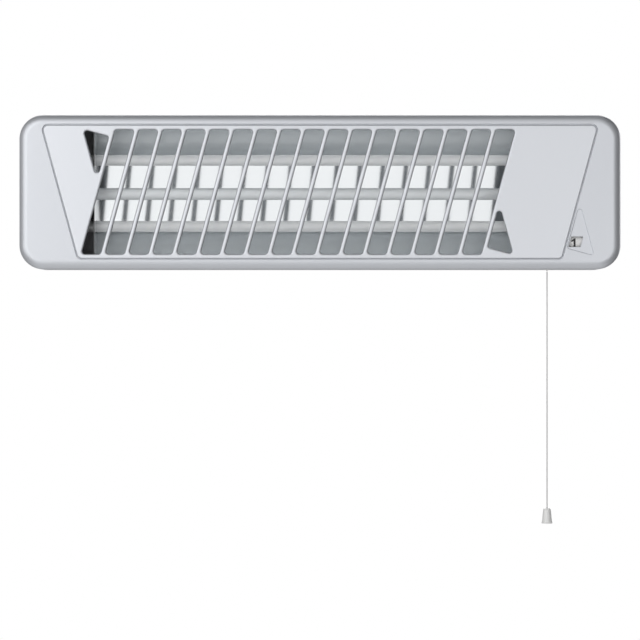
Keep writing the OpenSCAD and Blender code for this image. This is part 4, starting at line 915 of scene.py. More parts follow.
# %% Reflector sheet
REFLECTOR_X, REFLECTOR_LEN, SHEET_T = -225.0, 422.0, 0.8
BEAD_HALF, BEAD_RISE, BEND_H, MOUTH_H = 6.0, 1.6, 36.0, 66.0
FLOOR_D, INNER_R, OUTER_R, FLANGE_D = 60.0, 150.0, 45.0, 104.5
BEAD_R = (BEAD_HALF ** 2 + BEAD_RISE ** 2) / (2 * BEAD_RISE)
INNER_C = FLOOR_D + INNER_R
OUTER_H = BEND_H * (1 - OUTER_R / INNER_R)
OUTER_C = INNER_C - math.sqrt(INNER_R ** 2 - BEND_H ** 2) * (1 - OUTER_R / INNER_R)
BEAD_C = INNER_C - math.sqrt(INNER_R ** 2 - BEAD_HALF ** 2) + BEAD_RISE - BEAD_R


def sheet_d(h, offset=0.0):
    """Distance of the sheet's front face from the wall at height h above the middle."""
    if h < BEAD_HALF:
        return BEAD_C + math.sqrt((BEAD_R - offset) ** 2 - h ** 2)
    if h < BEND_H:
        return INNER_C - math.sqrt((INNER_R + offset) ** 2 - h ** 2)
    return OUTER_C - math.sqrt((OUTER_R + offset) ** 2 - (h - OUTER_H) ** 2)


heights = [BEAD_HALF * i / 8 for i in range(1, 8)]
heights += [BEAD_HALF + (MOUTH_H - BEAD_HALF) * i / 40 for i in range(41)]
front_line = [(MOUTH_H, FLANGE_D)] + [(h, sheet_d(h)) for h in reversed(heights)]
back_line = [(h, sheet_d(h, SHEET_T)) for h in heights[:-1]]
back_line += [(MOUTH_H + SHEET_T, sheet_d(MOUTH_H, SHEET_T) - 0.4), (MOUTH_H + SHEET_T, FLANGE_D)]
upper = front_line + [(0.0, sheet_d(0.0))] + [(-h, d) for h, d in reversed(front_line)]
lower = [(-h, d) for h, d in reversed(back_line)] + [(0.0, sheet_d(0.0, SHEET_T))] + back_line
section = upper + lower
cuts = [REFLECTOR_X + REFLECTOR_LEN * i / 8 for i in range(9)]
points = [at(x, h, d) for x in cuts for h, d in section]
count = len(section)
rings = [range(i * count, (i + 1) * count) for i in range(len(cuts))]
faces = [face for low, high in zip(rings, rings[1:]) for face in band(low, high)]
for ring in (rings[0], rings[-1]):
    faces += [(ring[k], ring[k + 1], ring[-2 - k], ring[-1 - k]) for k in range(len(upper) - 1)]
reflector = settle(new_piece("reflector_troughs", points, faces), 24)
give(reflector, "heater", "reflector_sheet", "reflector")
print("reflector lip at", round(sheet_d(MOUTH_H), 2), "mm from the wall")

# %% [markdown]
# ## Quartz tubes and heating coils
# The tubes are milky quartz, drawn with fine lines along them. Each is a turned profile with fused,
# rounded ends. The coil inside is a helix, made by one small tree from its length, pitch and radii,
# with a straight lead at each end.

# %% Quartz tubes
TUBE_ROWS = (("upper", TUBE_H), ("lower", -TUBE_H))
tube_len = TUBE_ENDS[1] - TUBE_ENDS[0]
inner = TUBE_R - TUBE_WALL
tube_profile = rounded_profile([(0, TUBE_R, 0.5), (tube_len, TUBE_R, 0.5), (tube_len, inner, 0.5),
                                (0, inner, 0.5)])
for name, h in TUBE_ROWS:
    piece = lathe("milky_tube_" + name, tube_profile, at(TUBE_ENDS[0], h, TUBE_D), ALONG)
    give(settle(piece), "heater", "quartz", "quartz_tube_" + name)

# %% Node tree: coil
node, given, coil_tree = new_tree("Coil of wire", Length=0.1, Turns=50.0, Coil_Radius=0.003,
                                  Wire_Radius=0.0003, Steps=12, Sides=6, Finish=FINISH)
spiral = node("GeometryNodeCurveSpiral", Resolution=given["Steps"], Rotations=given["Turns"],
              Start_Radius=given["Coil Radius"], End_Radius=given["Coil Radius"],
              Height=given["Length"])
wire = node("GeometryNodeCurvePrimitiveCircle", Radius=given["Wire Radius"],
            Resolution=given["Sides"])
wound = node("GeometryNodeCurveToMesh", Curve=spiral, Profile_Curve=wire, Fill_Caps=True)
end_tree(node, coil_tree, wound, given["Finish"])


def coil(name, length, turns, coil_radius, wire_radius, used, steps, sides):
    """A coil standing along +z from the origin."""
    return run_tree(name, coil_tree, Length=length * MM, Turns=float(turns), Steps=steps,
                    Coil_Radius=coil_radius * MM, Wire_Radius=wire_radius * MM, Sides=sides,
                    Finish=finishes[used])


# %% Heating coils
COIL_R, COIL_WIRE_R, COIL_INSET, COIL_PITCH, LEAD_R = 3.05, 0.3, 9.0, 1.7, 0.4
coil_len = tube_len - 2 * COIL_INSET
for name, h in TUBE_ROWS:
    helix = coil("helix", coil_len, round(coil_len / COIL_PITCH), COIL_R, COIL_WIRE_R,
                 "heating_wire", 12, 5)
    helix.data.transform(Matrix.Rotation(math.radians(90), 4, "Y"))
    helix.data.transform(Matrix.Translation(at(TUBE_ENDS[0] + COIL_INSET, h, TUBE_D)))
    leads = []
    for end, way in zip(TUBE_ENDS, (1, -1)):
        stops = ((0.9, 0), (COIL_INSET - 3, 0), (COIL_INSET - 1.2, 0), (COIL_INSET, COIL_R))
        path = [at(end + way * inset, h - drop, TUBE_D) for inset, drop in stops]
        leads.append(tube("lead", smooth_path(path, 4), LEAD_R * MM, "heating_wire", 8))
    piece = settle(merged("coil_of_wire_" + name, [helix, *leads]), 60, merge=1e-7)
    give(piece, "heater", "heating_wire", "heating_coil_" + name)

# %% [markdown]
# ## Rear tray
# The tray closes the housing towards the wall. It is drawn from thin sheet with a wide round edge, and
# a grid of 30 vent slots lets warm air out at the top. The sheet group makes it, seen from the wall:
# the slots are one rounded rectangle, instanced on a grid of points.

# %% Node tree: vented tray
BACK_D, TRAY_DEEP, TRAY_EDGE_R, TRAY_T = 32.0, 40.0, 8.0, 1.2
TRAY, TRAY_CORNER, GROMMET, GROMMET_R = (591.6, 145.6), 19.8, (262.0, -20.0), 7.0
VENTS, VENT_SLOT, VENT_PITCH, VENTS_H = (10, 3), (26.0, 3.2), (38.0, 10.0), 40.0
node, given, tray_tree = new_tree(
    "Vented tray", Width=TRAY[0] * MM, Height=TRAY[1] * MM, Corner=TRAY_CORNER * MM,
    Slot_Length=VENT_SLOT[0] * MM, Slot_Width=VENT_SLOT[1] * MM, Columns=VENTS[0], Rows=VENTS[1],
    Column_Pitch=VENT_PITCH[0] * MM, Row_Pitch=VENT_PITCH[1] * MM,
    Rows_Middle=Vector((0, VENTS_H * MM, 0)),
    Grommet_Place=Vector((-GROMMET[0] * MM, GROMMET[1] * MM, 0)), Grommet_Radius=GROMMET_R * MM,
    Sheet=TRAY_T * MM, Outer_Profile=OBJECT, Hole_Profile=OBJECT, Finish=FINISH)


def span(count, pitch):
    """Length of a row of points from its count and pitch."""
    return number(node, "MULTIPLY", number(node, "SUBTRACT", given[count], 1.0), given[pitch])


outside_line = node(QUAD, Width=given["Width"], Height=given["Height"])
slot = node(QUAD, Width=given["Slot Length"], Height=given["Slot Width"])
nearly_half = number(node, "MULTIPLY", given["Slot Width"], 0.4998)
grid = node("GeometryNodeMeshGrid", Size_X=span("Columns", "Column Pitch"),
            Size_Y=span("Rows", "Row Pitch"), Vertices_X=given["Columns"],
            Vertices_Y=given["Rows"])
grid_place = node("GeometryNodeTransform", Geometry=grid, Translation=given["Rows Middle"])
slots = node("GeometryNodeInstanceOnPoints", Points=grid_place,
             Instance=rounded_line(node, slot, nearly_half))
ring = node("GeometryNodeCurvePrimitiveCircle", Resolution=40, Radius=given["Grommet Radius"])
holes = [node("GeometryNodeRealizeInstances", Geometry=slots),
         node("GeometryNodeTransform", Geometry=ring, Translation=given["Grommet Place"])]
plate = pressed(node, given, rounded_line(node, outside_line, given["Corner"], 12), holes,
                given["Sheet"])
end_tree(node, tray_tree, plate, given["Finish"])

# %% The tray
bend = (TRAY_EDGE_R, -TRAY_EDGE_R)
tray_edge = profile_curve(
    "tray_edge", quarter(TRAY_EDGE_R, 10, bend, 90)
    + [(0, 0.2 - TRAY_DEEP), (0.2, -TRAY_DEEP), (1.0, -TRAY_DEEP), (TRAY_T, 0.2 - TRAY_DEEP)]
    + quarter(TRAY_EDGE_R - TRAY_T, 8, bend, 180, -90))
vent_edge = profile_curve("vent_edge", [(0.25, 0), (0, -0.25), (0, -1.0), (0.2, -TRAY_T)])
tray = run_tree("vented_tray", tray_tree, Outer_Profile=tray_edge, Hole_Profile=vent_edge,
                Finish=finishes["silver_tray"])
give(stand_up(tray, BACK_D, way=-1), "heater", "silver_tray", "rear_tray")
discard(tray_edge, vent_edge)

# %% [markdown]
# ## Screws, rivets, washers, nuts and caps
# Each kind of fastener is turned once, and one tree copies it to all its places: the places are
# points that carry the direction they look in. The heads get a cross or a slot, cut once as well.

# %% Node tree: copies at places
node, given, copy_tree = new_tree("Copies at places", Piece=OBJECT, Places=OBJECT, Finish=FINISH)
turn_of = node("GeometryNodeInputNamedAttribute", data_type="FLOAT_VECTOR", Name="turn")
copied = node("GeometryNodeInstanceOnPoints", Points=object_shape(node, given["Places"]),
              Instance=object_shape(node, given["Piece"]),
              Rotation=node("FunctionNodeEulerToRotation", turn_of))
end_tree(node, copy_tree, copied, given["Finish"])


def fasteners(name, cad_node, piece, places, used="steel_screws", body="heater"):
    """Copies a piece that stands along +z to (place, direction) pairs, as one mesh."""
    spots = new_piece("places", [place for place, _ in places], [])
    turns = spots.data.attributes.new("turn", "FLOAT_VECTOR", "POINT")
    for item, (_, direction) in zip(turns.data, places):
        item.vector = Vector(direction).to_track_quat("Z", "Y").to_euler()
    made = run_tree(name, copy_tree, Piece=piece, Places=spots, Finish=finishes[used])
    discard(spots, piece)
    give(settle(made), body, used, cad_node)


def cut_recess(piece, top, size, width, deep, spins=(0, 90)):
    """Cuts a slot, or two of them as a cross, into the top of a head."""
    for spin in spins:
        blade = new_piece("blade", [
            (x * size / 2 * MM, y * width / 2 * MM, z * MM)
            for x in (-1, 1) for y in (-1, 1) for z in (top - deep, top + 1)],
            [(0, 1, 3, 2), (4, 6, 7, 5), (0, 4, 5, 1), (2, 3, 7, 6), (0, 2, 6, 4), (1, 5, 7, 3)])
        blade.data.transform(Matrix.Rotation(math.radians(spin), 4, "Z"))
        cut_out(piece, blade)


def turned(name, corners, sides):
    """A turned piece along +z from (along, radius, rounding) corners."""
    return lathe(name, rounded_profile(corners, 3), sides=sides)


def thread(start, end, radius, pitch=0.5, deep=0.12):
    """Corners of a screw thread's ridges along a shank."""
    count = int((end - start) / pitch)
    step = (end - start) / count
    return [(start + i * step / 2, radius - deep * (i % 2)) for i in range(2 * count)]


SIDES = (-1, 1)
print("fasteners can be turned and copied")

# %% Cover screws and panel screws
SCREW_SEAT_H, PANEL_SCREW_XS, PANEL_SCREW_H, HEAD_T = 72.8, (-240.0, -75.0, 85.0, 219.0), 64.5, 1.42
screw = turned("cover_screw", [(-3.0, 0), (-3.0, 1.0), *thread(-2.6, 1.0, 1.48), (1.2, 1.48),
                               (3.02, 1.48, 0.1), (3.02, 2.9, 0.12), (4.18, 2.9, 0.5), (4.18, 0)], 32)
cut_recess(screw, 4.18, 3.7, 0.7, 0.6)
fasteners("cover_screw_set", "cover_screws", screw,
          [(at(x, side * SCREW_SEAT_H, SCREW_D), (0, 0, side)) for side in SIDES for x in SCREW_XS])
screw = turned("panel_screw", [(0, 0), (0, 1.9, 0.45), (-1.38, 1.9, 0.1), (-1.38, 1.17, 0.1),
                               (-5.1, 1.17, 0.3), (-5.1, 0)], 24)
cut_recess(screw, 0, 2.4, 0.45, 0.6)
fasteners("panel_screw_set", "panel_screws", screw,
          [(at(x, side * PANEL_SCREW_H, LEDGE_D - HEAD_T), (0, 1, 0))
           for side in SIDES for x in PANEL_SCREW_XS])

# %% Rivets, shield posts and terminal screws
LUG_X, RIVET_INSETS, RIVET_SPREAD = 224.6, (8.8, 20.8), 7.0
rivet = turned("rivet", [
    (-2.52, 0), (-2.52, 3.2, 0.85), (-1.52, 3.2, 0.05), (-1.52, 1.98, 0.05), (1.22, 1.98, 0.05),
    (1.22, 3.2, 0.05), (2.22, 3.2, 0.85), (2.22, 0)], 24)
fasteners("rivet_set", "lug_rivets", rivet,
          [(at(side * (LUG_X - inset), high * RIVET_SPREAD - RISE, BACK_D), (0, -1, 0))
           for side in SIDES for inset in RIVET_INSETS for high in SIDES])
POST_X, POST_H, TRAY_FLOOR_D = 152.0, 42.0, 33.2
post = turned("post", [(0, 0), (0, 3.0, 0.2), (12.8, 3.0, 0.15), (12.8, 1.48), (13.42, 1.48),
                       (13.42, 2.4, 0.1), (14.22, 2.4, 0.4), (14.22, 0)], 24)
fasteners("shield_post_set", "shield_posts", post,
          [(at(x * POST_X, h * POST_H, TRAY_FLOOR_D), (0, -1, 0)) for x in SIDES for h in SIDES])
BLOCK_X, BLOCK_H, WAY_PITCH = 264.0, 8.0, 12.0
screw = turned("clamp_screw", [(0, 0), (0, 2.4, 0.3), (4.0, 2.4, 0.25), (4.0, 0)], 28)
cut_recess(screw, 4.0, 6.0, 0.8, 0.8, spins=[0])
fasteners("clamp_screw_set", "terminal_screws", screw,
          [(at(BLOCK_X + 10, BLOCK_H + (i + 0.5) * WAY_PITCH, TRAY_FLOOR_D + 11.2), (0, -1, 0))
           for i in range(3)])

# %% Pivot bolts and washers
EAR_X = 228.0
bolt_start, bolt_end = LUG_X - 2.3, EAR_X + 13.0
bolt = turned("bolt", [
    (bolt_start - 3, 0), (bolt_start - 3, 5.0, 0.9), (bolt_start, 5.0, 0.1), (bolt_start, 2.5, 0.15),
    (EAR_X + 1, 2.5), *thread(EAR_X + 1.2, bolt_end - 0.6, 2.49, 0.8, 0.2), (bolt_end, 2.2, 0.2),
    (bolt_end, 0)], 32)
fasteners("bolt_pair", "pivot_bolts", bolt,
          [(by_wall(0, 0, PIVOT_D), (side, 0, 0)) for side in SIDES], body="bracket")
washer = turned("washer", [(0, 2.56, 0.1), (0, 8.0, 0.3), (1.0, 8.0, 0.3), (1.0, 2.56, 0.1)], 48)
fasteners("washer_set", "friction_washers", washer,
          [(by_wall(side * x, 0, PIVOT_D), (side, 0, 0))
           for side in SIDES for x in (EAR_X - 3.02, EAR_X + 0.02)], "grey_rubber", "bracket")

# %% Ceramic caps, studs and nuts of the tubes
tube_ends = [(at(end, side * TUBE_H, TUBE_D), (way, 0, 0))
             for end, way in zip(TUBE_ENDS, SIDES) for side in SIDES]
for name, places in (("left", tube_ends[:2]), ("right", tube_ends[2:])):
    cap = turned("cap", [
        (-6, 5.56, 0.3), (-6, 7, 0.4), (-1, 7, 0.1), (-1, 9, 0.4), (1.5, 9, 0.4), (1.5, 7, 0.1),
        (12, 7, 0.6), (12, 1.56, 0.3), (0, 1.56, 0.05), (0, 5.56, 0.1)], 40)
    fasteners("ceramic_cap_pair_" + name, "ceramic_caps_" + name, cap, places, "white_ceramic")
stud = turned("stud", [(-0.82, 0), (-0.82, 3.8, 0.1), (-0.02, 3.8, 0.1), (-0.02, 1.5), (11.5, 1.5),
                       *thread(12.0, 20.6, 1.49, 0.6, 0.15), (21.0, 1.2, 0.1), (21.0, 0)], 20)
fasteners("stud_set", "terminal_studs", stud, tube_ends)


def hex_nut(start, tall=2.4, radius=3.2, bore=1.52, sides=48):
    """A hexagonal nut with its corners turned off at both faces."""
    angles = [2 * math.pi * k / sides for k in range(sides)]
    flats = [math.cos(math.pi / 6) / math.cos(a % (math.pi / 3) - math.pi / 6) for a in angles]
    rings = [(along, [radius * min(flat, share) for flat in flats])
             for along, share in ((0, 0.93), (0.3, 1.0), (tall - 0.3, 1.0), (tall, 0.93))]
    rings += [(along, [bore] * sides) for along in (tall, 0)]
    points = [Vector((math.cos(a) * r, math.sin(a) * r, start + along)) * MM
              for along, radii in rings for a, r in zip(angles, radii)]
    rows = [range(i * sides, (i + 1) * sides) for i in range(len(rings))]
    faces = [face for low, high in zip(rows, rows[1:] + rows[:1]) for face in band(low, high)]
    return new_piece("nut", points, faces)


fasteners("nut_set", "terminal_nuts", merged("nut_pair", [hex_nut(12.1), hex_nut(15.5)]), tube_ends)

# %% [markdown]
# ## Pieces with softened edges
# Sheet-metal brackets, mouldings and levers already have their true shape in the CAD model, but its
# edges are razor sharp. Each gets a copy whose doubled points are merged, whose flat faces are made
# whole again and whose edges are rounded, so that they catch the light as real edges do.


# %% Softened copies
def softened(name, cad_node, body, used, width, slot=None):
    """A copy of a CAD node with rounded edges, in place of the node."""
    piece = new_object(name, frame["nodes"][cad_node].data.copy())
    shape = reworked(piece.data, 1e-6, outwards=False)
    bmesh.ops.dissolve_limit(shape, angle_limit=math.radians(0.8), verts=shape.verts,
                             edges=shape.edges)
    close(shape, piece.data)
    layers = piece.data.attributes
    for layer in ("sharp_face", "custom_normal"):
        if layer in layers:
            layers.remove(layers[layer])
    edge = piece.modifiers.new("edge", "BEVEL")
    edge.width, edge.segments, edge.use_clamp_overlap = width * MM, 2, True
    edge.limit_method, edge.angle_limit = "ANGLE", math.radians(30)
    apply_modifiers(piece)
    give(settle(piece, 30, merge=1e-7), body, used, cad_node, slot=slot)


SOFT = (
    ("formed_bracket", "wall_bracket", "bracket", "zinc_plate", 0.5),
    ("fluted_knob_left", "tilt_knob_left", "knob_left", "knob_plastic", 0.6),
    ("fluted_knob_right", "tilt_knob_right", "knob_right", "knob_plastic", 0.6),
    ("lug_left", "hinge_lug_left", "heater", "zinc_plate", 0.35),
    ("lug_right", "hinge_lug_right", "heater", "zinc_plate", 0.35),
    ("seal_strip", "cover_seal", "heater", "grey_rubber", 0.2),
    ("end_plate_left", "reflector_end_left", "heater", "end_sheet", 0.15, "reflector_sheet"),
    ("end_plate_right", "reflector_end_right", "heater", "end_sheet", 0.15, "reflector_sheet"),
    ("shield_plate", "heat_shield", "heater", "zinc_plate", 0.12),
    ("tube_holder_left", "tube_support_left", "heater", "zinc_plate", 0.25),
    ("tube_holder_right", "tube_support_right", "heater", "zinc_plate", 0.25),
    ("spring_clips", "cap_clips", "heater", "spring_steel", 0.15),
    ("link_strip", "neutral_link", "heater", "spring_steel", 0.12),
    ("clamp_block", "terminal_block", "heater", "block_ceramic", 0.3),
    ("earth_post", "earth_stud", "heater", "brass", 0.2),
    ("switch_foot", "switch_bracket", "heater", "zinc_plate", 0.3),
    ("switch_cheeks", "switch_frame", "heater", "white_plastic", 0.35),
    ("contact_set", "switch_contacts", "heater", "brass", 0.08),
    ("clear_plate", "indicator_window", "heater", "clear_plastic", 0.15),
    ("cam_shaft", "switch_shaft", "rotor", "steel_screws", 0.15),
    ("toothed_wheel", "ratchet_wheel", "rotor", "white_plastic", 0.15),
    ("pull_arm", "pull_lever", "lever", "white_plastic", 0.25),
    ("pawl_finger", "drive_pawl", "lever", "spring_steel", 0.15),
)
for row in SOFT:
    softened(*row)

# %% [markdown]
# ## Stage drum
# Behind the window turns a white drum with the plain stage numbers 0, 1 and 2, twice round. Each
# figure starts flat, is cut across into thin bands and is then bent round the drum.

# %% Drum and figures
SHAFT_H, SHAFT_D, DRUM_X, DRUM_R, DRUM_LEN = -49.7, 95.0, 245.784, 12.0, 18.0
drum = lathe("stage_drum", rounded_profile([
    (0, 2.52, 0.1), (0, DRUM_R, 0.3), (DRUM_LEN, DRUM_R, 0.3), (DRUM_LEN, 10.5, 0.2), (3, 10.5, 0.4),
    (3, 4.3, 0.4), (DRUM_LEN, 4.3, 0.2), (DRUM_LEN, 2.52, 0.1)]),
    at(DRUM_X, SHAFT_H, SHAFT_D), ALONG, 96)
give(settle(drum), "rotor", "drum_plastic", "indicator_drum")
FIGURE_TALL, FIGURE_X, FIGURE_LOW, FIGURE_RISE, FIGURE_BANDS = 9.6, 252.7, -1.2, 0.03, 12
ONE_LINE = [(-2.4, 0.9), (-2.4, 2.7), (0.5, 4.8), (1.9, 4.8), (1.9, -4.8), (-0.1, -4.8), (-0.1, 2.2)]


def flat_figure(sign):
    """A figure in its drawing plane, a little thick; the 1 has its own outline."""
    if sign == "1":
        flat = drawn_line("figure", [(x, y, 0.0) for x, y in ONE_LINE], dimensions="2D",
                          fill_mode="BOTH", extrude=0.05)
        flat.data.splines[0].use_cyclic_u = True
        return flat
    line = bpy.data.curves.new("figure", "FONT")
    line.body, line.offset, line.extrude, line.resolution_u = sign, 0.035, 0.004, 4
    return new_object("figure", line)


def figure(sign, turn):
    """A figure bent round the drum, its middle turned by an angle from the window."""
    flat = flat_figure(sign)
    mesh = evaluated(flat)
    discard(flat)
    shape = reworked(mesh, 1e-5, outwards=False)
    xs, ys = [v.co.x for v in shape.verts], [v.co.y for v in shape.verts]
    low, high = min(ys), max(ys)
    for i in range(1, FIGURE_BANDS):
        bmesh.ops.bisect_plane(shape, geom=shape.verts[:] + shape.edges[:] + shape.faces[:],
                               plane_co=(0, low + (high - low) * i / FIGURE_BANDS, 0),
                               plane_no=(0, 1, 0))
    bmesh.ops.triangulate(shape, faces=shape.faces)
    size = FIGURE_TALL / (high - low)
    for v in shape.verts:
        along = (v.co.x - (min(xs) + max(xs)) / 2) * size
        angle = turn + ((v.co.y - (low + high) / 2) * size + FIGURE_LOW) / DRUM_R
        radius = DRUM_R + FIGURE_RISE + v.co.z * size * 0.3
        v.co = at(FIGURE_X + along, SHAFT_H + radius * math.sin(angle),
                  SHAFT_D + radius * math.cos(angle))
    close(shape, mesh)
    return new_object("figure", mesh)


figures = merged("stage_figures", [figure(str(k % 3), math.radians(60 * (k - 1))) for k in range(6)])
give(settle(figures, 40, merge=1e-8), "rotor", "figure_ink", slot="drum_plastic")
print("figures 0, 1, 2 twice round the drum")

# %% [markdown]
# ## Grommet, bush, cord stop and cup
# Four small round pieces are turned from their own profiles.

# %% Turned pieces
BUSH_H, CORD_TOP_H, CUP_TOP_H, SPRING_FOOT_H = -77.3, -38.765, -45.739, -73.26
grommet = lathe("grommet_ring", rounded_profile([
    (-2, 4, 0.5), (-2, 9, 0.8), (-0.02, 9, 0.2), (-0.02, 6.98, 0.1), (1.22, 6.98, 0.1),
    (1.22, 8.5, 0.2), (3.2, 8.5, 0.8), (3.2, 4, 0.5)]), at(*GROMMET, BACK_D), (0, -1, 0))
give(settle(grommet), "heater", "grey_rubber", "cable_grommet")
bush = lathe("cord_guide", rounded_profile([
    (0, 1.6, 0.5), (0, 3.4, 0.3), (2.52, 3.4, 0.05), (2.52, 5, 0.3), (4.02, 5, 0.5),
    (4.02, 1.6, 0.5)]), at(CORD_X, BUSH_H, CORD_D))
give(settle(bush), "heater", "white_plastic", "cord_bush")
BALL_R, BALL_STEPS = 1.9, 16
hole_angle = math.asin(0.62 / BALL_R)
ball_angles = [math.pi - hole_angle - (math.pi - 2 * hole_angle) * i / BALL_STEPS
               for i in range(BALL_STEPS + 1)]
stop = lathe("crimped_ball", [(BALL_R * math.cos(t), BALL_R * math.sin(t)) for t in ball_angles],
             at(CORD_X, CORD_TOP_H, CORD_D), UP, 32)
give(settle(stop), "pull_line", "spring_steel", "cord_stop")
cup = lathe("crimped_cup", rounded_profile([
    (-1, 0.62, 0.1), (-1, 2.2, 0.25), (0, 2.2, 0.25), (0, 0.62, 0.1)]),
    at(CORD_X, CUP_TOP_H, CORD_D), UP, 32)
give(settle(cup), "pull_line", "spring_steel", "spring_cup")

# %% [markdown]
# ## Return spring and inner cord
# The spring is a real coil of 0.6 mm wire between the bush and the cup. It is pressed together when
# the cord is pulled. The cord runs on through it to the stop.

# %% Spring and inner cord
SPRING_LEN = CUP_TOP_H - 1.02 - SPRING_FOOT_H
spring = coil("wound_spring", SPRING_LEN - 0.6, 9.0, 1.9, 0.28, "spring_steel", 24, 8)
spring.data.transform(Matrix.Translation(at(CORD_X, SPRING_FOOT_H + 0.3, CORD_D)))
give(settle(spring, 60, merge=1e-8), "heater", "spring_steel", "return_spring")
tuple(at(CORD_X, SPRING_FOOT_H, CORD_D))
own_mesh(spring)
inner_path = [at(CORD_X, h, CORD_D) for h in (SWING_H, -65, -52, CORD_TOP_H)]
give(tube("inner_cord_braid", inner_path, CORD_R * MM, "cord_fibre"), "pull_line", "cord_fibre",
     "inner_cord")
print("spring", round(SPRING_LEN, 2), "mm long at rest")

# %% [markdown]
# ## Wires
# Five sleeved wires join the terminal block, the switch and the tubes' studs. Their routes are the
# points given in the CAD source, smoothed in the same way.

# %% Five wires
ROUTES = {
    "wire_live": ("brown_sleeve", [
        (268, 14, 42.2), (261, 14, 42.2), (254, 11, 45), (249, 0, 52), (242.984, -14, 66.04),
        (236.584, -24, 77.04), (235.584, -29.7, 78.94), (235.584, -33.5, 78.94)]),
    "wire_stage_one": ("white_sleeve", [
        (238.384, -33.5, 78.94), (238.384, -29.7, 78.94), (240.984, -8, 78.04), (243, 12, 77),
        (242, 26, 76), (237.3, 33.3, 75), (229.3, 33.3, 75)]),
    "wire_stage_two": ("white_sleeve", [
        (241.184, -33.5, 78.94), (241.184, -29.7, 78.94), (244.984, -24, 78.94),
        (249.984, -23, 74.94), (249.984, -29, 70.94), (244, -33, 70), (235.3, -33.3, 73),
        (229.3, -33.3, 75)]),
    "wire_neutral": ("blue_sleeve", [
        (268, 38, 42.2), (261, 38, 42.2), (250, 40, 41), (239, 48, 40), (226, 61, 39),
        (205, 68, 38), (150, 69, 38), (50, 69, 38), (-50, 69, 38), (-150, 69, 38),
        (-230.3, 68, 38), (-262.3, 60, 42), (-279.3, 46.3, 58), (-280.3, 36.3, 70),
        (-271.3, 33.3, 75), (-266.3, 33.3, 75)]),
    "wire_earth": ("earth_sleeve", [
        (268, 26, 42.2), (261, 26, 42.2), (255, 31, 47), (251, 41, 53), (250, 49, 54),
        (250, 52, 51), (250, 52, 44.4)]),
}
SLEEVE_R = 0.99
for cad_node, (used, stops) in ROUTES.items():
    path = smooth_path([at(*place) for place in stops], 6)
    give(tube("sleeved_" + cad_node, path, SLEEVE_R * MM, used, 14), "heater", used, cad_node)

# %% [markdown]
# ## Finishes for what is left of the CAD model
# A CAD node that still shows keeps its shape and gets the finish that its slot names.

# %% Remaining CAD nodes
slots = {row["node"]: row["material_slot"] for row in frame["record"]["subparts"]}
left_over = [name for name, shown in frame["nodes"].items() if not shown.hide_render]
for name in left_over:
    materials = frame["nodes"][name].data.materials
    materials.clear()
    materials.append(finishes[slots[name]])
print("CAD nodes with their own shape:", left_over)

# %% [markdown]
# ## Floor, studio light and background
# The heater hangs high on a wall, so the pale floor is well below it and fades out softly, so that no
# edge of it shows. Two large soft lamps stand in front, the stronger at the left, and two behind
# light the back and the right side. The camera sees a white room. The pieces are lit by, and
# mirror, a room that is white ahead of them and dim elsewhere, so that their rounded edges shade.

# %% Floor
FLOOR_Z, FLOOR_HALF = -0.9, 1.6
floor = new_piece("floor", [(x * FLOOR_HALF, y * FLOOR_HALF, FLOOR_Z)
                            for x, y in ((-1, -1), (1, -1), (1, 1), (-1, 1))], [(0, 1, 2, 3)])
tree = new_material("pale_floor")
rays = tree.nodes.new("ShaderNodeLightPath").outputs
seen = math_node(tree, "MAXIMUM", rays["Is Camera Ray"], rays["Is Glossy Ray"])
lit = add(tree, "ShaderNodeMixShader", math_node(tree, "MULTIPLY", seen, 0.55),
          add(tree, "ShaderNodeBsdfDiffuse", Color=(0.8, 0.8, 0.8, 1.0)),
          add(tree, "ShaderNodeEmission"))
level = add(tree, "ShaderNodeVectorMath", tree.nodes.new("ShaderNodeTexCoord").outputs["Object"],
            (1.0, 1.0, 0.0), operation="MULTIPLY")
away = add(tree, "ShaderNodeVectorMath", level, operation="LENGTH").node.outputs["Value"]
fade = add(tree, "ShaderNodeMapRange", Value=away, From_Min=0.5, From_Max=1.55,
           interpolation_type="SMOOTHSTEP")
soft = add(tree, "ShaderNodeMixShader", fade, lit, add(tree, "ShaderNodeBsdfTransparent"))
add(tree, "ShaderNodeOutputMaterial", Surface=soft)
floor.data.materials.append(finishes["pale_floor"])
print("floor at z", FLOOR_Z)

# %% Room
scene.world = bpy.data.worlds.new("studio")
scene.world.use_nodes = True
tree = scene.world.node_tree
tree.nodes.clear()
rays = tree.nodes.new("ShaderNodeLightPath").outputs
way = add(tree, "ShaderNodeSeparateXYZ",
          Vector=tree.nodes.new("ShaderNodeTexCoord").outputs["Generated"]).node.outputs


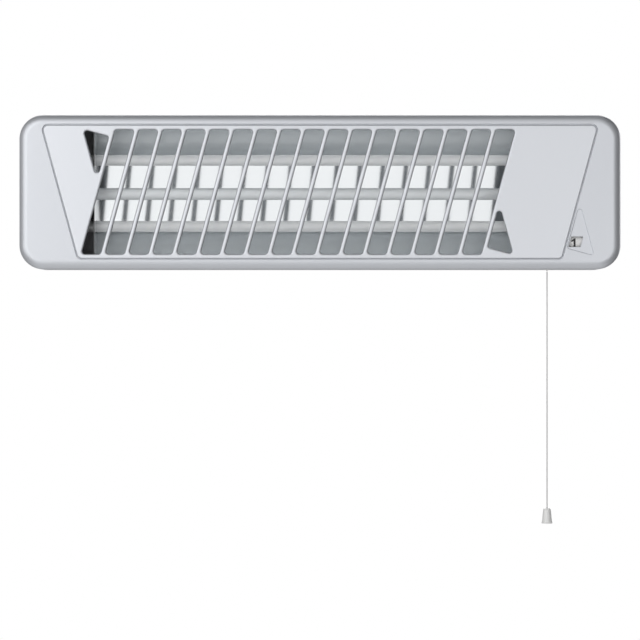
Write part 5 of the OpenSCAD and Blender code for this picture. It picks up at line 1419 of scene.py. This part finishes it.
def ramp(axis, start, end, low, high):
    """A smooth step along one axis of the world's direction."""
    return add(tree, "ShaderNodeMapRange", Value=way[axis], From_Min=start, From_Max=end,
               To_Min=low, To_Max=high, interpolation_type="SMOOTHSTEP")


def combined(operation, first, *others):
    """Several values taken together, one after the other."""
    for other in others:
        first = math_node(tree, operation, first, other)
    return first


ahead, from_left = ramp("Y", -0.36, -0.80, 0.10, 1.0), ramp("X", 0.0, 0.5, 1.0, 0.12)
beside_lamp = ramp("X", -0.3, -0.6, 1.0, 0.3)
from_side, from_right = ramp("X", -0.4, -0.9, 0.0, 0.15), ramp("X", 0.6, 0.95, 0.0, 0.07)
from_below, behind = ramp("Z", -0.15, -0.7, 0.0, 0.03), ramp("Y", 0.6, 0.9, 0.0, 0.3)
front_light = combined("MULTIPLY", ahead, from_left, beside_lamp)
around = combined("ADD", from_below, combined("ADD", from_side, from_right), behind)
room = combined("ADD", front_light, around)
camera_ray = rays["Is Camera Ray"]
dim = add(tree, "ShaderNodeBackground", Color=(1.0, 1.0, 1.0, 1.0), Strength=room)
bright = add(tree, "ShaderNodeBackground", Color=(1.0, 1.0, 1.0, 1.0),
             Strength=combined("MAXIMUM", camera_ray, room))
direct = combined("MAXIMUM", camera_ray, rays["Is Glossy Ray"], rays["Is Transmission Ray"])
add(tree, "ShaderNodeOutputWorld", Surface=add(tree, "ShaderNodeMixShader", direct, dim, bright))
print("room is white for the camera, dim for soft light")

# %% Lamps
LAMPS = (
    ("left_lamp", (-1.35, -1.65, 0.45), 2.2, 18.0),
    ("right_lamp", (1.2, -2.6, -0.3), 1.4, 7.0),
    ("back_lamp", (0.3, 2.9, 1.2), 2.4, 38.0),
    ("side_lamp", (2.3, 2.1, 0.2), 1.4, 9.0),
)
middle = Vector((0, -0.08, RISE * MM))
for name, place, size, power in LAMPS:
    lamp = new_object(name, bpy.data.lights.new(name, "AREA"), place)
    lamp.data.shape, lamp.data.size, lamp.data.energy = "SQUARE", size, power
    lamp.rotation_euler = (middle - Vector(place)).to_track_quat("-Z", "Y").to_euler()
    print(name, power, "W")
scene.view_settings.view_transform = "Standard"
